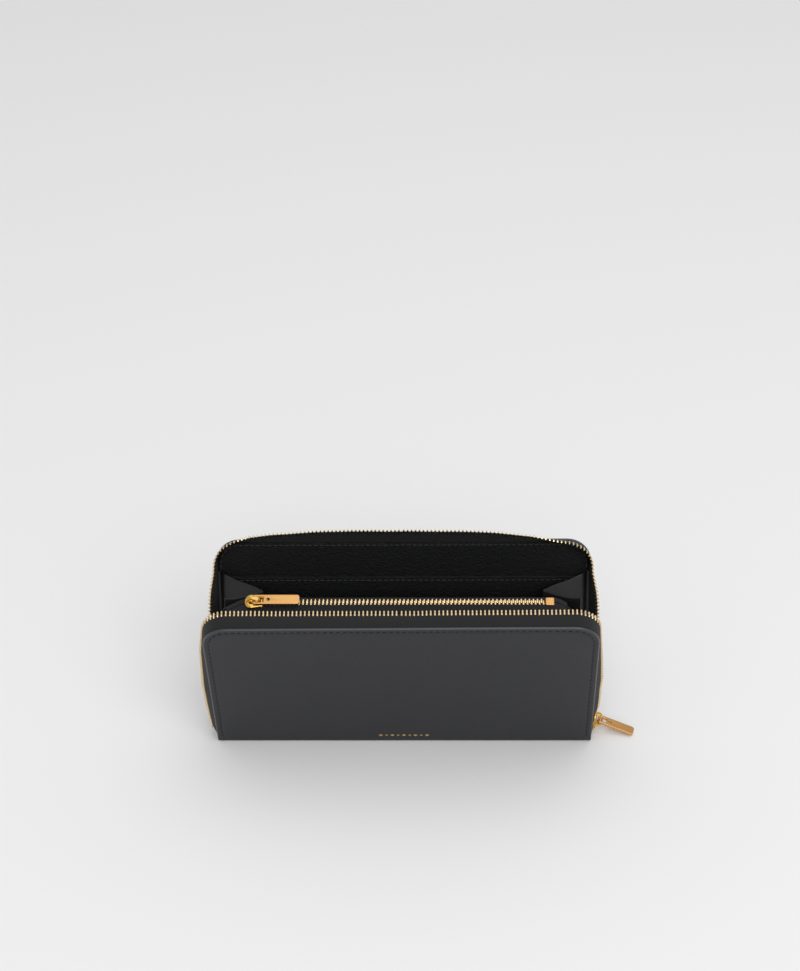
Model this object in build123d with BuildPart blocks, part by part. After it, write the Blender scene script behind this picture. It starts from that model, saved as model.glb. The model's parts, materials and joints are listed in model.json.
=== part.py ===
"""Zip around wallet standing open on its spine, as separate named parts.

Units are millimetres. +X runs along the wallet's width, +Y to the back and +Z up. The origin is the
centre of the spine's underside. Each cover has its own plane: local x along the width, local y up the
cover and local z inward from its outer leather face.
"""

import os
from math import atan2, cos, pi, radians, sin

from build123d import *

# Driving dimensions of the covers
WIDTH = 188.0
COVER_HEIGHT = 94.5
SPINE_DEPTH = 22.0
CORNER_RADIUS = 12.0
OPEN_ANGLE = 16.0
LEATHER = 1.2
BOARD = 0.5
LINING = 0.8
LINING_INSET = 1.05
BOARD_INSET = 8.0
FOLD_CLEARANCE = 0.1

# Slip pocket and card slots on each cover's inside
POCKET_GAP = 0.4
POCKET_PLY = 0.7
POCKET_TOP = 76.0
SLOT_PLY = 0.5
SLOT_TOPS = {"upper": 60.0, "middle": 48.0, "lower": 36.0}
SLOT_SIDE_INSET = 6.0
POCKET_SIDE_INSET = 5.5
POCKET_FOOT = 4.0

# Metal zip: one tooth and the tape that carries it
TOOTH_PITCH = 1.95
TOOTH_WIDTH = 0.88
TOOTH_LENGTH = 2.8
TOOTH_THICKNESS = 1.5
TAPE = 0.5
FLANGE_REACH = 6.0
TAPE_EDGE_INSET = 0.6
TAPE_LEAN = 74.0
WEB_LENGTH = 7.0
CHAIN_FOOT_RIGHT = 11.0
CHAIN_FOOT_LEFT = 5.0
TAPE_FOOT = 3.4

# Middle divider with its zipped coin pocket
DIVIDER_HALF_WIDTH = 88.0
WALL = 0.9
WALL_FOOT_Y = 1.65
WALL_SPREAD = 4.2 / 78.1
BACK_WALL_TOP = 80.6
FRONT_WALL_TOP = 75.7
POCKET_ZIP_HEIGHT = 78.7
POCKET_ZIP_TILT = 26.0
POCKET_TAPE_DROP = 8.2
POCKET_TAPE_HALF = 86.0
ROW_OVERLAP = 0.55
POCKET_SLIDER_X = -72.2
POCKET_STOP_X = 72.0
STOP_LENGTH = 4.2

# Gussets: horizontal sections at two heights, from the cover's edge to the fold and to the divider
GUSSET = 0.8
GUSSET_BOTTOM = 3.2
GUSSET_TOP = 75.2
GUSSET_SEAM_X = 93.0
GUSSET_HINGE_X = 91.2
GUSSET_TURN_X = 89.9
GUSSET_TURN_DEPTH = 5.75
GUSSET_APEX_LOW = (66.5, 5.3)
GUSSET_APEX_HIGH = (69.6, 15.0)
APEX_FLAT = 1.2

# Sliders and pulls
SLIDER_LENGTH = 9.0
SLIDER_MOUTH = 7.6
SLIDER_TAIL = 6.2
SLIDER_PLATE = 0.85
CHAIN_ROOM = 1.9
RAIL = 0.6
TAPE_SLOT = 1.0
BRIDGE_WIDTH = 1.8
BRIDGE_BAR = 0.9
BRIDGE_ROOM = 2.3
BRIDGE_LENGTH = 7.0
PULL_LENGTH = 19.8
PULL_WIDTH = 5.6
POCKET_PULL_LENGTH = 23.0
POCKET_PULL_WIDTH = 5.1
PULL_THICKNESS = 1.25
PULL_EYE = (4.6, 3.0)
PULL_END_BAR = 1.3
PULL_HOLE_RADIUS = 0.8
MAIN_SLIDER_AT = (95.6, 0.0, 5.9)
MAIN_SLIDER_TWIST = 10.0
MAIN_PULL_DROP = 14.5
MAIN_PULL_YAW = 5.0

# Foil ornament low on the front cover
FOIL = 0.08
FOIL_HEIGHT = 5.6
FOIL_SPACING = 2.9
FOIL_COUNT = 9

FLOOR_STACK = LEATHER + BOARD + LINING
WALL_FOOT = FLOOR_STACK + 0.05
COVER_STACK = LEATHER + BOARD + LINING
TAPE_MIDDLE = LEATHER + TAPE / 2
FRONT = Plane(
    origin=(0, -SPINE_DEPTH / 2, 0),
    x_dir=(-1, 0, 0),
    z_dir=(0, cos(radians(OPEN_ANGLE)), sin(radians(OPEN_ANGLE))),
)
BACK = Plane(
    origin=(0, SPINE_DEPTH / 2, 0),
    x_dir=(1, 0, 0),
    z_dir=(0, -cos(radians(OPEN_ANGLE)), sin(radians(OPEN_ANGLE))),
)
ZIP_PLANE = Plane(
    origin=(0, 0, POCKET_ZIP_HEIGHT),
    x_dir=(1, 0, 0),
    z_dir=(0, -sin(radians(POCKET_ZIP_TILT)), cos(radians(POCKET_ZIP_TILT))),
)
PARTS = []


def keep(piece, name):
    """Label a finished piece and remember it for export."""
    piece.part.label = name
    PARTS.append(piece.part)
    return piece.part


def normal_axis(place):
    """Axis along a plane's normal, for sorting and choosing faces."""
    return Axis(place.origin, place.z_dir)


def band(points, thickness):
    """Closed outline of a strip of even thickness along a line of points."""
    half = thickness / 2
    left, right = [], []
    for i, (x, y) in enumerate(points):
        before = points[max(i - 1, 0)]
        after = points[min(i + 1, len(points) - 1)]
        into = atan2(y - before[1], x - before[0]) if i else None
        away = atan2(after[1] - y, after[0] - x) if i < len(points) - 1 else None
        into = away if into is None else into
        away = into if away is None else away
        turn = (away - into + pi) % (2 * pi) - pi
        middle = into + turn / 2 + pi / 2
        reach = half / cos(turn / 2)
        left.append((x + reach * cos(middle), y + reach * sin(middle)))
        right.append((x - reach * cos(middle), y - reach * sin(middle)))
    return left + right[::-1]


def cover_panel(side, name, inset, foot, depth, thickness):
    """One flat ply of a cover, lying at a depth inside its outer face."""
    half = WIDTH / 2 - inset
    top = COVER_HEIGHT - inset
    radius = CORNER_RADIUS - inset
    with BuildPart() as panel:
        with BuildSketch(side.offset(depth)):
            with BuildLine():
                Polyline((-half, top - radius), (-half, foot), (half, foot), (half, top - radius))
                RadiusArc((half, top - radius), (half - radius, top), -radius)
                Line((half - radius, top), (radius - half, top))
                RadiusArc((radius - half, top), (-half, top - radius), -radius)
            make_face()
        extrude(amount=thickness)
    return keep(panel, name)


def strip_pocket(side, name, top, side_inset, depth, thickness):
    """A pocket or card-slot ply with rounded top corners and a softened top edge."""
    with BuildPart() as ply:
        with BuildSketch(side.offset(depth)) as outline:
            with Locations((0, (top + POCKET_FOOT) / 2)):
                Rectangle(WIDTH - 2 * side_inset, top - POCKET_FOOT)
            fillet(outline.vertices().group_by(Axis.Y)[-1], radius=1.5)
        extrude(amount=thickness)
    return keep(ply, name)


def rim_path(side):
    """Path of the zip round a cover: up the right side, over the top and down the left side."""
    across = 1 if side is BACK else -1
    half = WIDTH / 2
    top = COVER_HEIGHT
    with BuildLine(side) as path:
        Line((across * half, TAPE_FOOT), (across * half, top - CORNER_RADIUS))
        RadiusArc(
            (across * half, top - CORNER_RADIUS),
            (across * (half - CORNER_RADIUS), top),
            -across * CORNER_RADIUS,
        )
        Line((across * (half - CORNER_RADIUS), top), (-across * (half - CORNER_RADIUS), top))
        RadiusArc(
            (-across * (half - CORNER_RADIUS), top),
            (-across * half, top - CORNER_RADIUS),
            -across * CORNER_RADIUS,
        )
        Line((-across * half, top - CORNER_RADIUS), (-across * half, TAPE_FOOT))
    return path.wires()[0]


def zip_tape(side, name):
    """Tape sewn under the cover's edge, leaning inward from it as a narrow wall."""
    lean = radians(TAPE_LEAN)
    path = rim_path(side)
    section = Plane(
        origin=path @ 0,
        x_dir=side.x_dir * (1 if side is BACK else -1),
        z_dir=side.y_dir * (-1 if side is BACK else 1),
    )
    web = (-TAPE_EDGE_INSET + WEB_LENGTH * cos(lean), TAPE_MIDDLE + WEB_LENGTH * sin(lean))
    outline = band([(-FLANGE_REACH, TAPE_MIDDLE), (-TAPE_EDGE_INSET, TAPE_MIDDLE), web], TAPE)
    with BuildPart() as tape:
        with BuildSketch(section):
            with BuildLine():
                Polyline(*outline, close=True)
            make_face()
        sweep(path=path)
    return keep(tape, name)


def rim_station(distance):
    """Place and outward heading on the right-to-left rim path, at a distance along the tooth line."""
    flare = (WEB_LENGTH + TOOTH_LENGTH / 2) * cos(radians(TAPE_LEAN)) - TAPE_EDGE_INSET
    half, top = WIDTH / 2, COVER_HEIGHT
    side_run = top - CORNER_RADIUS - CHAIN_FOOT_RIGHT
    arc_run = (CORNER_RADIUS + flare) * pi / 2
    top_run = 2 * (half - CORNER_RADIUS)
    if distance < side_run:
        return (half, CHAIN_FOOT_RIGHT + distance, 0.0)
    distance -= side_run
    if distance < arc_run:
        turn = distance / arc_run * pi / 2
        centre = (half - CORNER_RADIUS, top - CORNER_RADIUS)
        return (centre[0] + CORNER_RADIUS * cos(turn), centre[1] + CORNER_RADIUS * sin(turn), turn)
    distance -= arc_run
    if distance < top_run:
        return (half - CORNER_RADIUS - distance, top, pi / 2)
    distance -= top_run
    if distance < arc_run:
        turn = pi / 2 + distance / arc_run * pi / 2
        centre = (CORNER_RADIUS - half, top - CORNER_RADIUS)
        return (centre[0] + CORNER_RADIUS * cos(turn), centre[1] + CORNER_RADIUS * sin(turn), turn)
    distance -= arc_run
    return (-half, top - CORNER_RADIUS - distance, pi)


def rim_length():
    """Length of the tooth line, from the right foot to the left foot."""
    flare = (WEB_LENGTH + TOOTH_LENGTH / 2) * cos(radians(TAPE_LEAN)) - TAPE_EDGE_INSET
    sides = 2 * (COVER_HEIGHT - CORNER_RADIUS) - CHAIN_FOOT_RIGHT - CHAIN_FOOT_LEFT
    return sides + 2 * (WIDTH / 2 - CORNER_RADIUS) + (CORNER_RADIUS + flare) * pi


def cover_place(side, distance, along_web):
    """Plane on the leaning tape: z points to the tooth's tip and x runs along the zip."""
    across = 1 if side is BACK else -1
    x, y, turn = rim_station(distance)
    lean = radians(TAPE_LEAN)
    outward = side.x_dir * (across * cos(turn)) + side.y_dir * sin(turn)
    along = side.x_dir * (-across * sin(turn)) + side.y_dir * cos(turn)
    tip = outward * cos(lean) + side.z_dir * sin(lean)
    root = side.origin + side.x_dir * (across * x) + side.y_dir * y + side.z_dir * TAPE_MIDDLE
    return Plane(root - outward * TAPE_EDGE_INSET + tip * along_web, x_dir=along, z_dir=tip)


def tooth():
    """One metal tooth standing on its root, with a rounded tip."""
    with BuildPart(mode=Mode.PRIVATE) as single:
        with BuildSketch(Plane.XZ.offset(-TOOTH_THICKNESS / 2)) as profile:
            with Locations((0, TOOTH_LENGTH / 2)):
                Rectangle(TOOTH_WIDTH, TOOTH_LENGTH)
            fillet(profile.vertices().group_by(Axis.Y)[-1], radius=TOOTH_WIDTH * 0.4)
        extrude(amount=TOOTH_THICKNESS)
    return single.part


def tooth_row(places, name):
    """A group of equal teeth, each on its own place."""
    single = tooth()
    row = Part(children=[place.location * single for place in places])
    row.label = name
    PARTS.append(row)
    return row


def cover_chain(side, prefix):
    """All teeth of one cover's zip, with the stop that ends them on the left."""
    count = int(rim_length() / TOOTH_PITCH)
    places = [cover_place(side, (i + 0.5) * TOOTH_PITCH, WEB_LENGTH) for i in range(count)]
    tooth_row(places, f"{prefix}_zip_teeth")
    last = cover_place(side, rim_length() + TOOTH_PITCH * 0.35, WEB_LENGTH)
    with BuildPart() as stop:
        with BuildSketch(last):
            RectangleRounded(TOOTH_WIDTH * 1.7, TOOTH_THICKNESS + 0.4, 0.4)
        extrude(amount=TOOTH_LENGTH * 0.8)
    keep(stop, f"{prefix}_top_stop")


def make_cover(side, prefix):
    """Every ply, pocket and zip piece of one cover."""
    foot = LEATHER + FOLD_CLEARANCE
    cover_panel(side, f"{prefix}_leather", 0.0, foot, 0.0, LEATHER)
    cover_panel(side, f"{prefix}_board", BOARD_INSET, POCKET_FOOT, LEATHER, BOARD)
    cover_panel(side, f"{prefix}_lining", LINING_INSET, FLOOR_STACK + FOLD_CLEARANCE, LEATHER + BOARD, LINING)
    depth = COVER_STACK + POCKET_GAP
    strip_pocket(side, f"{prefix}_slip_pocket", POCKET_TOP, POCKET_SIDE_INSET, depth, POCKET_PLY)
    depth += POCKET_PLY
    for tier, top in SLOT_TOPS.items():
        strip_pocket(side, f"{prefix}_card_slot_{tier}", top, SLOT_SIDE_INSET, depth, SLOT_PLY)
        depth += SLOT_PLY
    zip_tape(side, f"{prefix}_zip_tape")
    cover_chain(side, prefix)


def foil_ornament():
    """Row of small lozenges pressed in foil, large ones between small ones."""
    with BuildPart() as foil:
        with BuildSketch(FRONT):
            for i in range(FOIL_COUNT):
                size = 2.4 if i % 2 else 1.7
                with Locations(((i - (FOIL_COUNT - 1) / 2) * FOIL_SPACING, FOIL_HEIGHT)):
                    Rectangle(size / 1.6, size / 1.6, rotation=45)
        extrude(amount=-FOIL)
    keep(foil, "front_foil_mark")


def make_spine():
    """Leather, board and lining strips of the spine, laid one on another."""
    layers = (
        ("spine_leather", WIDTH, SPINE_DEPTH, 0.0, LEATHER),
        ("spine_board", WIDTH - 2 * BOARD_INSET, SPINE_DEPTH - 3.0, LEATHER, BOARD),
        ("spine_lining", WIDTH - 2 * LINING_INSET, SPINE_DEPTH - 2 * LEATHER - 0.4, LEATHER + BOARD, LINING),
    )
    for name, width, depth, height, thickness in layers:
        with BuildPart() as layer:
            with BuildSketch(Plane.XY.offset(height)):
                Rectangle(width, depth)
            extrude(amount=thickness)
        keep(layer, name)


def wall_y(height):
    """Distance of the divider wall's middle from the wallet's middle at a height."""
    return WALL_FOOT_Y + (height - FLOOR_STACK) * WALL_SPREAD


def width_strip(points, thickness, half_width, name, bevel=0.0):
    """A bent strip with an even section in Y and Z, running across the wallet's width."""
    with BuildPart() as strip:
        with BuildSketch(Plane.YZ.offset(-half_width)):
            with BuildLine():
                Polyline(*band(points, thickness), close=True)
            make_face()
        extrude(amount=2 * half_width)
        if bevel:
            fillet(strip.edges().filter_by(Axis.X).group_by(Axis.Z)[-1], radius=bevel)
    return keep(strip, name)


def make_divider():
    """Two walls, a foot strip, two end bindings and the two tapes of the coin pocket's zip."""
    width_strip(
        [(-WALL_FOOT_Y, WALL_FOOT), (-wall_y(FRONT_WALL_TOP), FRONT_WALL_TOP)],
        WALL, DIVIDER_HALF_WIDTH, "divider_front_wall", bevel=WALL * 0.4,
    )
    width_strip(
        [(WALL_FOOT_Y, WALL_FOOT), (wall_y(BACK_WALL_TOP), BACK_WALL_TOP)],
        WALL, DIVIDER_HALF_WIDTH, "divider_back_wall", bevel=WALL * 0.4,
    )
    with BuildPart() as foot:
        with BuildSketch(Plane.XY.offset(FLOOR_STACK + WALL * 0.1)):
            Rectangle(2 * DIVIDER_HALF_WIDTH, 2 * WALL_FOOT_Y - WALL - 0.1)
        extrude(amount=1.0)
    keep(foot, "divider_foot")
    tilt = radians(POCKET_ZIP_TILT)
    behind_wall = (WALL + TAPE) / 2 + 0.02
    for name, across in (("front", -1), ("back", 1)):
        start = TOOTH_LENGTH - ROW_OVERLAP
        width = wall_y(POCKET_ZIP_HEIGHT) - behind_wall
        width /= cos(tilt) - across * sin(tilt) * WALL_SPREAD
        bend = (across * width * cos(tilt), POCKET_ZIP_HEIGHT + across * width * sin(tilt))
        edge = (across * start * cos(tilt), POCKET_ZIP_HEIGHT + across * start * sin(tilt))
        low = bend[1] - POCKET_TAPE_DROP
        flange = (across * (wall_y(low) - behind_wall), low)
        width_strip([edge, bend, flange], TAPE, POCKET_TAPE_HALF, f"divider_{name}_tape")
    for name, across in (("left", -1), ("right", 1)):
        outline = [
            (-wall_y(FRONT_WALL_TOP) - WALL / 2, FRONT_WALL_TOP - 0.6),
            (-WALL_FOOT_Y - WALL / 2, FLOOR_STACK + 0.1),
            (WALL_FOOT_Y + WALL / 2, FLOOR_STACK + 0.1),
            (wall_y(FRONT_WALL_TOP) + WALL / 2, FRONT_WALL_TOP - 0.6),
        ]
        with BuildPart() as binding:
            with BuildSketch(Plane.YZ.offset(across * (DIVIDER_HALF_WIDTH + 0.4))):
                with BuildLine():
                    Polyline(*outline, close=True)
                make_face()
            extrude(amount=0.4, both=True)
        keep(binding, f"divider_end_{name}")


def make_pocket_chain():
    """Two interlocked tooth rows of the coin pocket's zip and the stops at both ends."""
    first = POCKET_SLIDER_X + 0.4
    last = POCKET_STOP_X - STOP_LENGTH / 2 - TOOTH_PITCH / 2
    count = int((last - first) / TOOTH_PITCH)
    for name, across in (("front", -1), ("back", 1)):
        places = []
        for i in range(count):
            x = last - (i + (0.5 if across > 0 else 0.0)) * TOOTH_PITCH
            root = ZIP_PLANE.from_local_coords((x, across * (TOOTH_LENGTH - ROW_OVERLAP), 0))
            places.append(Plane(root, x_dir=ZIP_PLANE.x_dir, z_dir=ZIP_PLANE.y_dir * -across))
        tooth_row(places, f"divider_{name}_teeth")
    with BuildPart() as stop:
        with BuildSketch(ZIP_PLANE.offset(-TOOTH_THICKNESS / 2 - 0.1)):
            with Locations((POCKET_STOP_X, 0)):
                RectangleRounded(STOP_LENGTH, 4.2, 0.5)
        extrude(amount=TOOTH_THICKNESS + 0.2)
        fillet(stop.faces().sort_by(normal_axis(ZIP_PLANE))[-1].edges(), radius=0.25)
    keep(stop, "divider_bottom_stop")
    with BuildPart() as stops:
        with BuildSketch(ZIP_PLANE.offset(-TOOTH_THICKNESS / 2)):
            with Locations((-81.0, 1.45), (-81.0, -1.45)):
                RectangleRounded(1.8, 1.4, 0.4)
        extrude(amount=TOOTH_THICKNESS)
    keep(stops, "divider_top_stops")


def cover_y(height, depth):
    """Distance from the wallet's middle to a depth inside the open cover, at a height."""
    tilt = radians(OPEN_ANGLE)
    rise = (height - depth * sin(tilt)) / cos(tilt)
    return SPINE_DEPTH / 2 + rise * sin(tilt) - depth * cos(tilt)


def gusset_section(height, apex, across, depth):
    """Fold line of a gusset at a height, from the cover's edge to the divider."""
    seam_y = cover_y(height, COVER_STACK + GUSSET / 2 + 0.02)
    wall = wall_y(height) + WALL / 2 + GUSSET / 2 + 0.05
    line = [
        (GUSSET_SEAM_X, seam_y),
        (GUSSET_HINGE_X, seam_y),
        (GUSSET_TURN_X, cover_y(height, GUSSET_TURN_DEPTH)),
        (apex[0], apex[1] + APEX_FLAT / 2),
        (apex[0], apex[1] - APEX_FLAT / 2),
        (DIVIDER_HALF_WIDTH - 0.4, wall),
    ]
    return [(across * x, depth * y) for x, y in band(line, GUSSET)]


def make_gussets():
    """Four folded side walls, each a ruled sheet between a low and a high section."""
    for side_name, across in (("left", -1), ("right", 1)):
        for cover_name, depth in (("front", -1), ("back", 1)):
            with BuildPart() as gusset:
                sections = ((GUSSET_BOTTOM, GUSSET_APEX_LOW), (GUSSET_TOP, GUSSET_APEX_HIGH))
                for height, apex in sections:
                    with BuildSketch(Plane.XY.offset(height)):
                        with BuildLine():
                            Polyline(*gusset_section(height, apex, across, depth), close=True)
                        make_face()
                loft(ruled=True)
            keep(gusset, f"gusset_{cover_name}_{side_name}")


def slider_body(place, name):
    """Two plates joined by a wedge at the mouth, with rails that leave a slot for the tapes."""
    room = CHAIN_ROOM / 2
    half = SLIDER_LENGTH / 2
    shoulder = half * 0.35
    with BuildPart() as body:
        with BuildSketch(place.offset(-room - SLIDER_PLATE)):
            with BuildLine():
                Polyline(
                    (-SLIDER_MOUTH / 2, shoulder), (-SLIDER_TAIL / 2, -half),
                    (SLIDER_TAIL / 2, -half), (SLIDER_MOUTH / 2, shoulder),
                )
                ThreePointArc((SLIDER_MOUTH / 2, shoulder), (0, half), (-SLIDER_MOUTH / 2, shoulder))
            make_face()
        extrude(amount=CHAIN_ROOM + 2 * SLIDER_PLATE)
        with BuildSketch(place.offset(-room)):
            with BuildLine():
                Polyline(
                    (RAIL - SLIDER_TAIL / 2, -SLIDER_LENGTH), (SLIDER_TAIL / 2 - RAIL, -SLIDER_LENGTH),
                    (SLIDER_TAIL / 2 - RAIL, 0), (SLIDER_MOUTH / 2 - RAIL, SLIDER_LENGTH * 0.3),
                    (SLIDER_MOUTH / 2 - RAIL, SLIDER_LENGTH), (RAIL - SLIDER_MOUTH / 2, SLIDER_LENGTH),
                    (RAIL - SLIDER_MOUTH / 2, SLIDER_LENGTH * 0.3), (RAIL - SLIDER_TAIL / 2, 0), close=True,
                )
            make_face()
            with Locations((0, SLIDER_LENGTH * 0.36)):
                Rectangle(1.1, SLIDER_LENGTH * 0.2, mode=Mode.SUBTRACT)
        extrude(amount=CHAIN_ROOM, mode=Mode.SUBTRACT)
        with BuildSketch(place.offset(-TAPE_SLOT / 2)):
            Rectangle(2 * SLIDER_MOUTH, 2 * SLIDER_LENGTH)
            with Locations((0, SLIDER_LENGTH * 0.36)):
                Rectangle(1.1, SLIDER_LENGTH * 0.2, mode=Mode.SUBTRACT)
        extrude(amount=TAPE_SLOT, mode=Mode.SUBTRACT)
        outer = body.faces().filter_by(normal_axis(place)).sort_by(normal_axis(place))
        fillet(outer[-1].edges(), radius=0.4)
    keep(body, name)


def slider_bridge(place, name):
    """Arch on the slider's outer plate that the pull's eye hangs on."""
    seat = CHAIN_ROOM / 2 + SLIDER_PLATE
    half = BRIDGE_LENGTH / 2
    high = BRIDGE_ROOM + BRIDGE_BAR
    across = Plane(
        place.origin - place.x_dir * (BRIDGE_WIDTH / 2) + place.z_dir * seat,
        x_dir=place.y_dir,
        z_dir=place.x_dir,
    )
    with BuildPart() as bridge:
        with BuildSketch(across) as arch:
            with Locations((0, high / 2)):
                Rectangle(2 * half, high)
            fillet(arch.vertices().group_by(Axis.Y)[-1], radius=1.6)
            with Locations((0, BRIDGE_ROOM / 2)):
                Rectangle(2 * half - 2 * BRIDGE_BAR, BRIDGE_ROOM, mode=Mode.SUBTRACT)
        extrude(amount=BRIDGE_WIDTH)
    keep(bridge, name)


def pull_tab(place, name, length=PULL_LENGTH, width=PULL_WIDTH):
    """Flat pull along the place's x, its eye round the pivot at the place's origin."""
    start = -PULL_END_BAR / 2
    eye_length, eye_width = PULL_EYE
    with BuildPart() as pull:
        with BuildSketch(place.offset(-PULL_THICKNESS / 2)) as outline:
            with Locations((start + length / 2, 0)):
                RectangleRounded(length, width, 1.2)
            with Locations((PULL_END_BAR / 2 + eye_length / 2, 0)):
                RectangleRounded(eye_length, eye_width, 0.6, mode=Mode.SUBTRACT)
            with Locations((PULL_END_BAR / 2 + eye_length + 2.2, 0)):
                Circle(PULL_HOLE_RADIUS, mode=Mode.SUBTRACT)
        extrude(amount=PULL_THICKNESS)
        rims = pull.faces().filter_by(normal_axis(place))
        chamfer(rims.edges().filter_by(GeomType.LINE), length=0.12)
    keep(pull, name)


def main_slider_place():
    """Plane of the main slider: z out of the wallet's side, turned a little to the front, y up."""
    twist = radians(MAIN_SLIDER_TWIST)
    return Plane(MAIN_SLIDER_AT, x_dir=(sin(twist), cos(twist), 0), z_dir=(cos(twist), -sin(twist), 0))


def make_sliders():
    """Both sliders with their bridges and pulls."""
    main = main_slider_place()
    coin_at = ZIP_PLANE.from_local_coords((POCKET_SLIDER_X, 0, 0))
    coin = Plane(coin_at, x_dir=ZIP_PLANE.y_dir, z_dir=ZIP_PLANE.z_dir)
    lift = CHAIN_ROOM / 2 + SLIDER_PLATE + BRIDGE_ROOM / 2
    drop, swing = radians(MAIN_PULL_DROP), radians(MAIN_SLIDER_TWIST + MAIN_PULL_YAW)
    slider_body(main, "main_slider_body")
    slider_bridge(main, "main_slider_bridge")
    reach = Vector(cos(drop) * cos(swing), -cos(drop) * sin(swing), -sin(drop))
    side = Vector(sin(swing), cos(swing), 0)
    pull_tab(Plane(main.origin + main.z_dir * lift, x_dir=reach, z_dir=reach.cross(side)), "main_pull_tab")
    slider_body(coin, "pocket_slider_body")
    slider_bridge(coin, "pocket_slider_bridge")
    pull_tab(Plane(coin.origin + coin.z_dir * lift, x_dir=(1, 0, 0), z_dir=coin.z_dir), "pocket_pull_tab",
             POCKET_PULL_LENGTH, POCKET_PULL_WIDTH)


def make_zip_tail():
    """Short closed end of the main zip inside its slider: two tapes, two teeth rows and a stop."""
    place = main_slider_place()
    low = 0.3 - MAIN_SLIDER_AT[2]
    half = TOOTH_LENGTH - ROW_OVERLAP
    with BuildPart() as tapes:
        with BuildSketch(place.offset(-TAPE / 2)):
            with Locations((half + 0.75, low + 4.5), (-half - 0.75, low + 4.5)):
                Rectangle(1.5, 9.0)
        extrude(amount=TAPE)
    keep(tapes, "main_zip_tail_tapes")
    places = []
    for i in range(4):
        across = 1 if i % 2 else -1
        root = place.from_local_coords((across * half, low + 1.9 + i * TOOTH_PITCH / 2, 0))
        places.append(Plane(root, x_dir=place.y_dir, z_dir=place.x_dir * -across))
    tooth_row(places, "main_zip_tail_teeth")
    with BuildPart() as stop:
        with BuildSketch(place.offset(-TOOTH_THICKNESS / 2)):
            with Locations((0, low + 0.6)):
                RectangleRounded(2 * half - 0.1, 1.2, 0.3)
        extrude(amount=TOOTH_THICKNESS)
    keep(stop, "main_zip_bottom_stop")


make_spine()
make_divider()
make_pocket_chain()
make_gussets()
make_cover(FRONT, "front")
make_cover(BACK, "back")
foil_ornament()
make_zip_tail()
make_sliders()

os.makedirs("parts", exist_ok=True)
for part in PARTS:
    export_step(part, f"parts/{part.label}.step")
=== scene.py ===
"""Looks of a zip around wallet that stands open on its spine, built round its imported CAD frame.

Sizes inside the classes are in millimetres and every mesh is written in metres, in the frame of the
CAD model: +X along the width, +Y to the back cover, +Z up, origin under the middle of the spine.
"""

from __future__ import annotations

import json
import logging
import math
from dataclasses import dataclass, field, replace
from enum import Enum
from typing import Callable, Iterable, Sequence

import bmesh
import bpy
import numpy as np
from mathutils import Matrix, Vector, noise

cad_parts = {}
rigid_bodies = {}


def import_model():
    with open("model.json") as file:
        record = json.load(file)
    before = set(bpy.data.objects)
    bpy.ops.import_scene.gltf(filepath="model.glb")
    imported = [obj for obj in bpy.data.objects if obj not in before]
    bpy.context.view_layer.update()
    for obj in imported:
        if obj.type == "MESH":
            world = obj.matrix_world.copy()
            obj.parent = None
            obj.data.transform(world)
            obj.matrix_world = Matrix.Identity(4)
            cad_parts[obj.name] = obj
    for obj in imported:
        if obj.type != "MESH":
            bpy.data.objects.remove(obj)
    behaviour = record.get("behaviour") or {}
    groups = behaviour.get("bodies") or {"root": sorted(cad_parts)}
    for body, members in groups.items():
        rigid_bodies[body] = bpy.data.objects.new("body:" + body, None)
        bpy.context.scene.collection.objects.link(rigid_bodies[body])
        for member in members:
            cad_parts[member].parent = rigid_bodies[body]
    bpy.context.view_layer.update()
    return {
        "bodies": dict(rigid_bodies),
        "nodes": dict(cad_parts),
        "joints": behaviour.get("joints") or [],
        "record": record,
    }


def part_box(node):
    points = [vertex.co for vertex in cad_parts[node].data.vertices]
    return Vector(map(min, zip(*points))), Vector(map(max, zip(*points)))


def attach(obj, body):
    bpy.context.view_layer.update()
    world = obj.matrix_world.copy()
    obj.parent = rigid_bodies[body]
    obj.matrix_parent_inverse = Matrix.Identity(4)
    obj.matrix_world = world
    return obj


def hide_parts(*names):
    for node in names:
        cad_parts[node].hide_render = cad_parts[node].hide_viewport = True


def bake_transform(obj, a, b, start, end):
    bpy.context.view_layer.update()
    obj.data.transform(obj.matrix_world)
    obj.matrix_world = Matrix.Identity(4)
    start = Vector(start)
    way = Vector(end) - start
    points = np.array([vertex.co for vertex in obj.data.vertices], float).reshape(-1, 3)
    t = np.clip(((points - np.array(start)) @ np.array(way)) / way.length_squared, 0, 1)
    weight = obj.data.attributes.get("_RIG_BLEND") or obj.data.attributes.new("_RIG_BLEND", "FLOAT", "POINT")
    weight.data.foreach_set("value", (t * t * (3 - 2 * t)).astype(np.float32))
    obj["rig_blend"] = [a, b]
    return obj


LOG = logging.getLogger("wallet")
MM = 0.001
Point = tuple[float, float, float]


class Side(Enum):
    """The cover a piece belongs to; the value is its direction along Y."""

    FRONT = -1
    BACK = 1

    @property
    def body(self) -> str:
        """Name of the CAD body of this cover."""
        return "front_cover" if self is Side.FRONT else "back_cover"

    @property
    def label(self) -> str:
        """Word that starts the names of this cover's pieces."""
        return "front" if self is Side.FRONT else "back"


# ---------------------------------------------------------------------------------------------
# Small tools


def smooth(value: float, low: float = 0.0, high: float = 1.0) -> float:
    """Smooth step from 0 at low to 1 at high.

    Args:
        value: Where to read the step.
        low: Value at and below which the step is 0.
        high: Value at and above which the step is 1.

    Returns:
        The share between 0 and 1.
    """
    share = min(1.0, max(0.0, (value - low) / (high - low)))
    return share * share * (3.0 - 2.0 * share)


def linear_colour(hex_text: str) -> tuple[float, float, float, float]:
    """Turn an sRGB hex colour into linear RGBA.

    Args:
        hex_text: Six hex digits.

    Returns:
        Linear red, green, blue and an alpha of 1.
    """
    channels = [int(hex_text[i : i + 2], 16) / 255 for i in (0, 2, 4)]
    linear = [c / 12.92 if c <= 0.04045 else ((c + 0.055) / 1.055) ** 2.4 for c in channels]
    return (linear[0], linear[1], linear[2], 1.0)


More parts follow.
